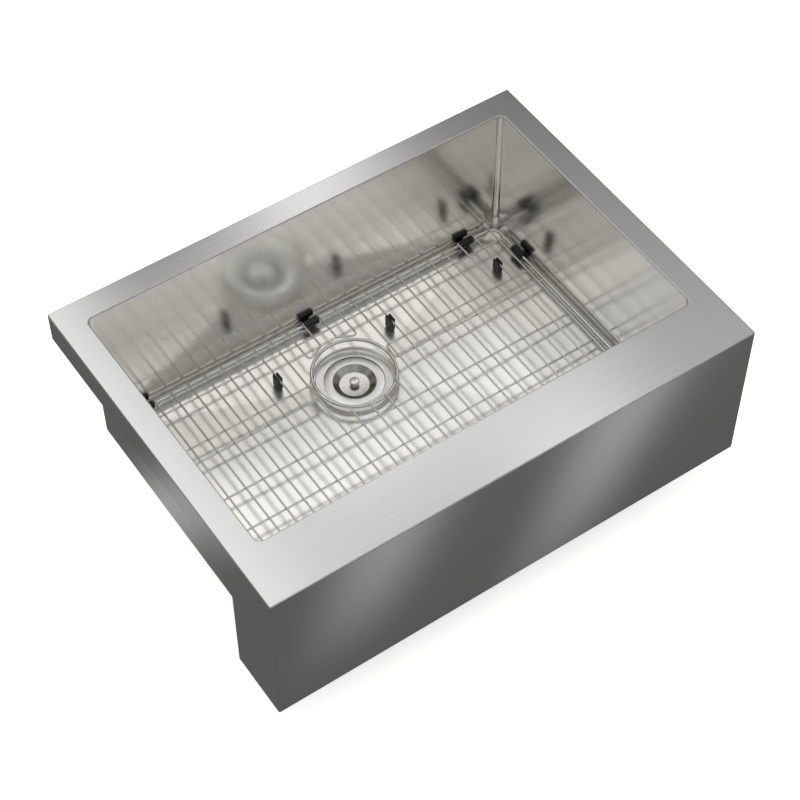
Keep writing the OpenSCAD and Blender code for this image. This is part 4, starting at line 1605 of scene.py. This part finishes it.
    def _islands(self) -> tuple[bmesh.types.BMesh, list[list[bmesh.types.BMVert]]]:
        """Finds the separate bumpers of the frame.

        Returns:
            Their joined mesh, and the points of each of them.
        """
        bm = merged_copy("grid_bumpers")
        todo = set(bm.verts)
        groups = []
        while todo:
            seed = todo.pop()
            group, edge = [seed], [seed]
            while edge:
                for link in edge.pop().link_edges:
                    for vert in link.verts:
                        if vert in todo:
                            todo.discard(vert)
                            group.append(vert)
                            edge.append(vert)
            groups.append(group)
        return bm, groups

    def _bumper_places(self) -> list[Vector]:
        """Finds the middle of each bumper.

        Returns:
            The middles of their boxes as seen from above, in millimetres.
        """
        bm, groups = self._islands()
        places = []
        for group in groups:
            xs = [v.co.x for v in group]
            ys = [v.co.y for v in group]
            places.append(Vector(((max(xs) + min(xs)) / 2, (max(ys) + min(ys)) / 2, 0.0)) / MM)
        bm.free()
        return places

    def _one_bumper(self) -> bmesh.types.BMesh:
        """Takes the rear middle bumper off the frame.

        Returns:
            Its mesh, moved so that the frame wire's middle is at the origin.
        """
        bm, groups = self._islands()
        aim = Vector((0.0, SIZES.grid_rear * MM, SIZES.frame_z * MM))
        keep = set(min(groups, key=lambda group: min((v.co - aim).length for v in group)))
        bmesh.ops.delete(bm, geom=[v for v in bm.verts if v not in keep], context="VERTS")
        bmesh.ops.translate(bm, vec=-aim, verts=bm.verts)
        return bm


# Light and camera, in metres


@dataclass(frozen=True)
class Panel:
    """A soft bright or dark panel of the studio's ceiling, as the sink sees it.

    The ceiling's places are directions divided by their height: u to the right, v to the rear.
    Each side has the two places between which the panel fades in or out.
    """

    left: Flat
    right: Flat
    front: Flat
    rear: Flat
    light: float


@dataclass(frozen=True)
class Fade:
    """A light that changes along the ceiling from one place to another."""

    places: Flat
    lights: Flat


@dataclass(frozen=True)
class Streak:
    """A soft streak of light on the studio's floor, as the steel reflects it."""

    x: float
    y: float
    slant: float
    half_w: float
    front: Flat
    rear: Flat
    light: float


@dataclass(frozen=True)
class Lamp:
    """A square lamp with its power in watts, which doesn't show in the steel."""

    name: str
    place: Point
    aim: Point
    size: float
    power: float


FAR = (90.0, 99.0)
NEAR = (-99.0, -90.0)
TOP_FRONT = (-0.52, -0.34)
TOP_REAR = (0.34, 0.50)
OVERHEAD = 2.0
SIDE_LIGHT = 0.45


@dataclass
class Studio:
    """Floor, light and camera. Angles are in degrees."""

    to_rear: Fade = Fade((0.0, 0.88), (OVERHEAD, 0.107))
    to_front: Fade = Fade((-0.765, -0.64), (0.11, 2.0))
    to_right: Fade = Fade((0.6, 1.4), (OVERHEAD, SIDE_LIGHT))
    to_left: Fade = Fade((-1.4, -0.6), (SIDE_LIGHT, OVERHEAD))
    panels: Sequence[Panel] = (
        Panel(NEAR, FAR, TOP_FRONT, TOP_REAR, 0.5),
        Panel((0.0, 0.1), (0.29, 0.36), TOP_REAR, FAR, 1.8),
        Panel((0.43, 0.48), (0.515, 0.58), TOP_REAR, FAR, 1.95),
        Panel((-1.3, -0.9), (-0.35, -0.2), TOP_REAR, (0.53, 0.68), 1.5),
        Panel((0.33, 0.37), (0.43, 0.48), (0.58, 0.61), (0.71, 0.78), 2.1),
        Panel((0.46, 0.49), (0.56, 0.60), (0.58, 0.62), (0.74, 0.79), 0.86),
        Panel((-1.3, -1.0), (0.08, 0.24), (-1.2, -0.95), (-0.52, -0.40), 0.70),
        Panel(NEAR, FAR, NEAR, (-2.0, -1.4), 0.7),
        Panel(NEAR, FAR, (1.0, 1.4), FAR, 0.6),
    )
    least_height: float = 0.04
    front_tint: Color = (1.0, 0.955, 0.86)
    rear_tint: Color = (1.0, 1.0, 0.99)
    tint_places: Flat = (-0.76, -0.66)
    floor_half: float = 6.0
    floor_z: float = -0.338
    floor_light: float = 0.115
    floor_matt: float = 0.9
    floor_glow: float = 0.64
    far_floor_places: Flat = (0.95, 1.6)
    far_floor_light: float = 0.45
    streaks: Sequence[Streak] = (
        Streak(-0.187, -0.394, 1.37, 0.14, (-9.0, -8.0), (-0.50, -0.32), 0.34),
        Streak(0.214, -0.390, 1.75, 0.15, (-9.0, -8.0), (-0.50, -0.25), 0.40),
        Streak(-0.47, 0.13, -9.0, 1.6, (-0.1, 0.13), (0.13, 0.30), 0.25),
    )
    lamp_row: Sequence[Lamp] = (
        Lamp("key", (-0.9, -0.6, 2.2), (0.0, 0.05, -0.1), 1.6, 22.0),
        Lamp("top", (0.2, 0.3, 2.4), (0.0, 0.05, -0.2), 1.2, 10.0),
    )
    azimuth: float = -34.38
    elevation: float = 52.34
    distance: float = 2.8439
    target: Point = (-0.02928, -0.04254, -0.1)
    lens: float = 94.49
    sensor: float = 36.0

    def build(self) -> None:
        """Makes the surroundings."""
        self.world()
        self.floor()
        self.lamps()
        self.camera()

    def world(self) -> None:
        """Makes a soft studio that shows white to the camera."""
        world = bpy.data.worlds.new("studio")
        bpy.context.scene.world = world
        kit = emptied(world)
        x, y, z = kit.parts(kit.node("ShaderNodeTexCoord").outputs["Generated"])
        height = kit.math("MAXIMUM", z, self.least_height)
        u, v = (kit.math("DIVIDE", part, height) for part in (x, y))
        total = kit.map_range(v, *self.to_rear.places, *self.to_rear.lights, smooth=False)
        for place, fade in ((v, self.to_front), (u, self.to_right), (u, self.to_left)):
            total = kit.math("MINIMUM", total, kit.map_range(place, *fade.places, *fade.lights))
        for panel in self.panels:
            masks = kit.band(u, panel.left, panel.right), kit.band(v, panel.front, panel.rear)
            change = kit.math("SUBTRACT", panel.light, total)
            lift = kit.math("MULTIPLY", kit.math("MULTIPLY", *masks), change)
            total = kit.math("ADD", total, lift)
        tint_share = kit.map_range(v, *self.tint_places, 0.0, 1.0)
        tint = kit.mix_color(tint_share, self.front_tint, self.rear_tint)
        light = kit.node("ShaderNodeBackground", {0: tint, 1: total}).outputs[0]
        seen = kit.node("ShaderNodeBackground", {0: WHITE}).outputs[0]
        kit.node("ShaderNodeOutputWorld", {0: kit.seen_or_mirrored(seen, light)})

    def floor(self) -> None:
        """Makes a plain pale floor that is darker in reflections."""
        mat = bpy.data.materials.new("studio_floor")
        kit = emptied(mat)
        pale = (self.floor_matt,) * 3 + (1.0,)
        matt = kit.node("ShaderNodeBsdfDiffuse", {0: pale}).outputs[0]
        glow = kit.node("ShaderNodeEmission", {0: WHITE, 1: self.floor_glow}).outputs[0]
        seen = kit.node("ShaderNodeAddShader", {0: matt, 1: glow}).outputs[0]
        light = {0: WHITE, 1: self._floor_reflection(kit)}
        mirrored = kit.node("ShaderNodeEmission", light).outputs[0]
        kit.node("ShaderNodeOutputMaterial", {0: kit.seen_or_mirrored(seen, mirrored)})
        shaper = Shaper()
        half, z = self.floor_half / MM, self.floor_z / MM
        corners = [(-sx * half, -sy * half, z) for sx, sy in CORNERS]
        shaper.cap(shaper.loop(corners))
        shaper.make("studio_floor", mat)

    def _floor_reflection(self, kit: NodeKit) -> Socket:
        """The floor's light as the steel reflects it.

        Args:
            kit: makes the floor's nodes.

        Returns:
            The light, with its streaks and with the brighter floor far away.
        """
        x, y, _ = kit.parts(kit.object_place())
        total = self.floor_light
        for streak in self.streaks:
            slanted = kit.math("MULTIPLY", kit.math("SUBTRACT", y, streak.y), streak.slant)
            off = kit.math("ABSOLUTE", kit.math("ADD", kit.math("SUBTRACT", x, streak.x), slanted))
            across = kit.map_range(off, 0.0, streak.half_w, streak.light, 0.0)
            part = kit.math("MULTIPLY", across, kit.band(y, streak.front, streak.rear))
            total = kit.math("ADD", part, total)
        reach = kit.distance(x, y)
        far = kit.map_range(reach, *self.far_floor_places, 0.0, self.far_floor_light)
        return kit.math("ADD", total, far)

    def lamps(self) -> None:
        """Makes the soft lamps."""
        for spec in self.lamp_row:
            lamp = bpy.data.lights.new(spec.name, "AREA")
            lamp.shape = "SQUARE"
            lamp.size = spec.size
            lamp.energy = spec.power
            obj = bpy.data.objects.new(spec.name, lamp)
            bpy.context.scene.collection.objects.link(obj)
            obj.location = spec.place
            obj.visible_glossy = False
            way = Vector(spec.aim) - Vector(spec.place)
            obj.rotation_euler = way.to_track_quat("-Z", "Y").to_euler()

    def camera(self) -> None:
        """Makes the photograph's camera."""
        a, e = math.radians(self.azimuth), math.radians(self.elevation)
        back = Vector((math.sin(a) * math.cos(e), -math.cos(a) * math.cos(e), math.sin(e)))
        data = bpy.data.cameras.new("photo_camera")
        data.sensor_width = self.sensor
        data.lens = self.lens
        obj = bpy.data.objects.new("photo_camera", data)
        bpy.context.scene.collection.objects.link(obj)
        obj.location = Vector(self.target) + back * self.distance
        obj.rotation_euler = (-back).to_track_quat("-Z", "Y").to_euler()
        bpy.context.scene.camera = obj


def dress_nodes(shop: FinishShop) -> None:
    """Gives every CAD node its procedural finish.

    Args:
        shop: where the finishes come from.
    """
    for node, obj in frame["nodes"].items():
        mat = shop.of(node)
        if not obj.material_slots:
            obj.data.materials.append(mat)
        for slot in obj.material_slots:
            slot.material = mat


def main() -> None:
    """Builds the scene."""
    logging.basicConfig(level=logging.INFO)
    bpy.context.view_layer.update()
    bpy.context.scene.view_settings.view_transform = "Standard"
    shop = FinishShop()
    dress_nodes(shop)
    for work in (SheetWork(shop), DrainWork(shop), GridWork(shop)):
        work.build()
        LOG.info("made %s", type(work).__name__)
    Studio().build()


if __name__ == "__main__":
    main()
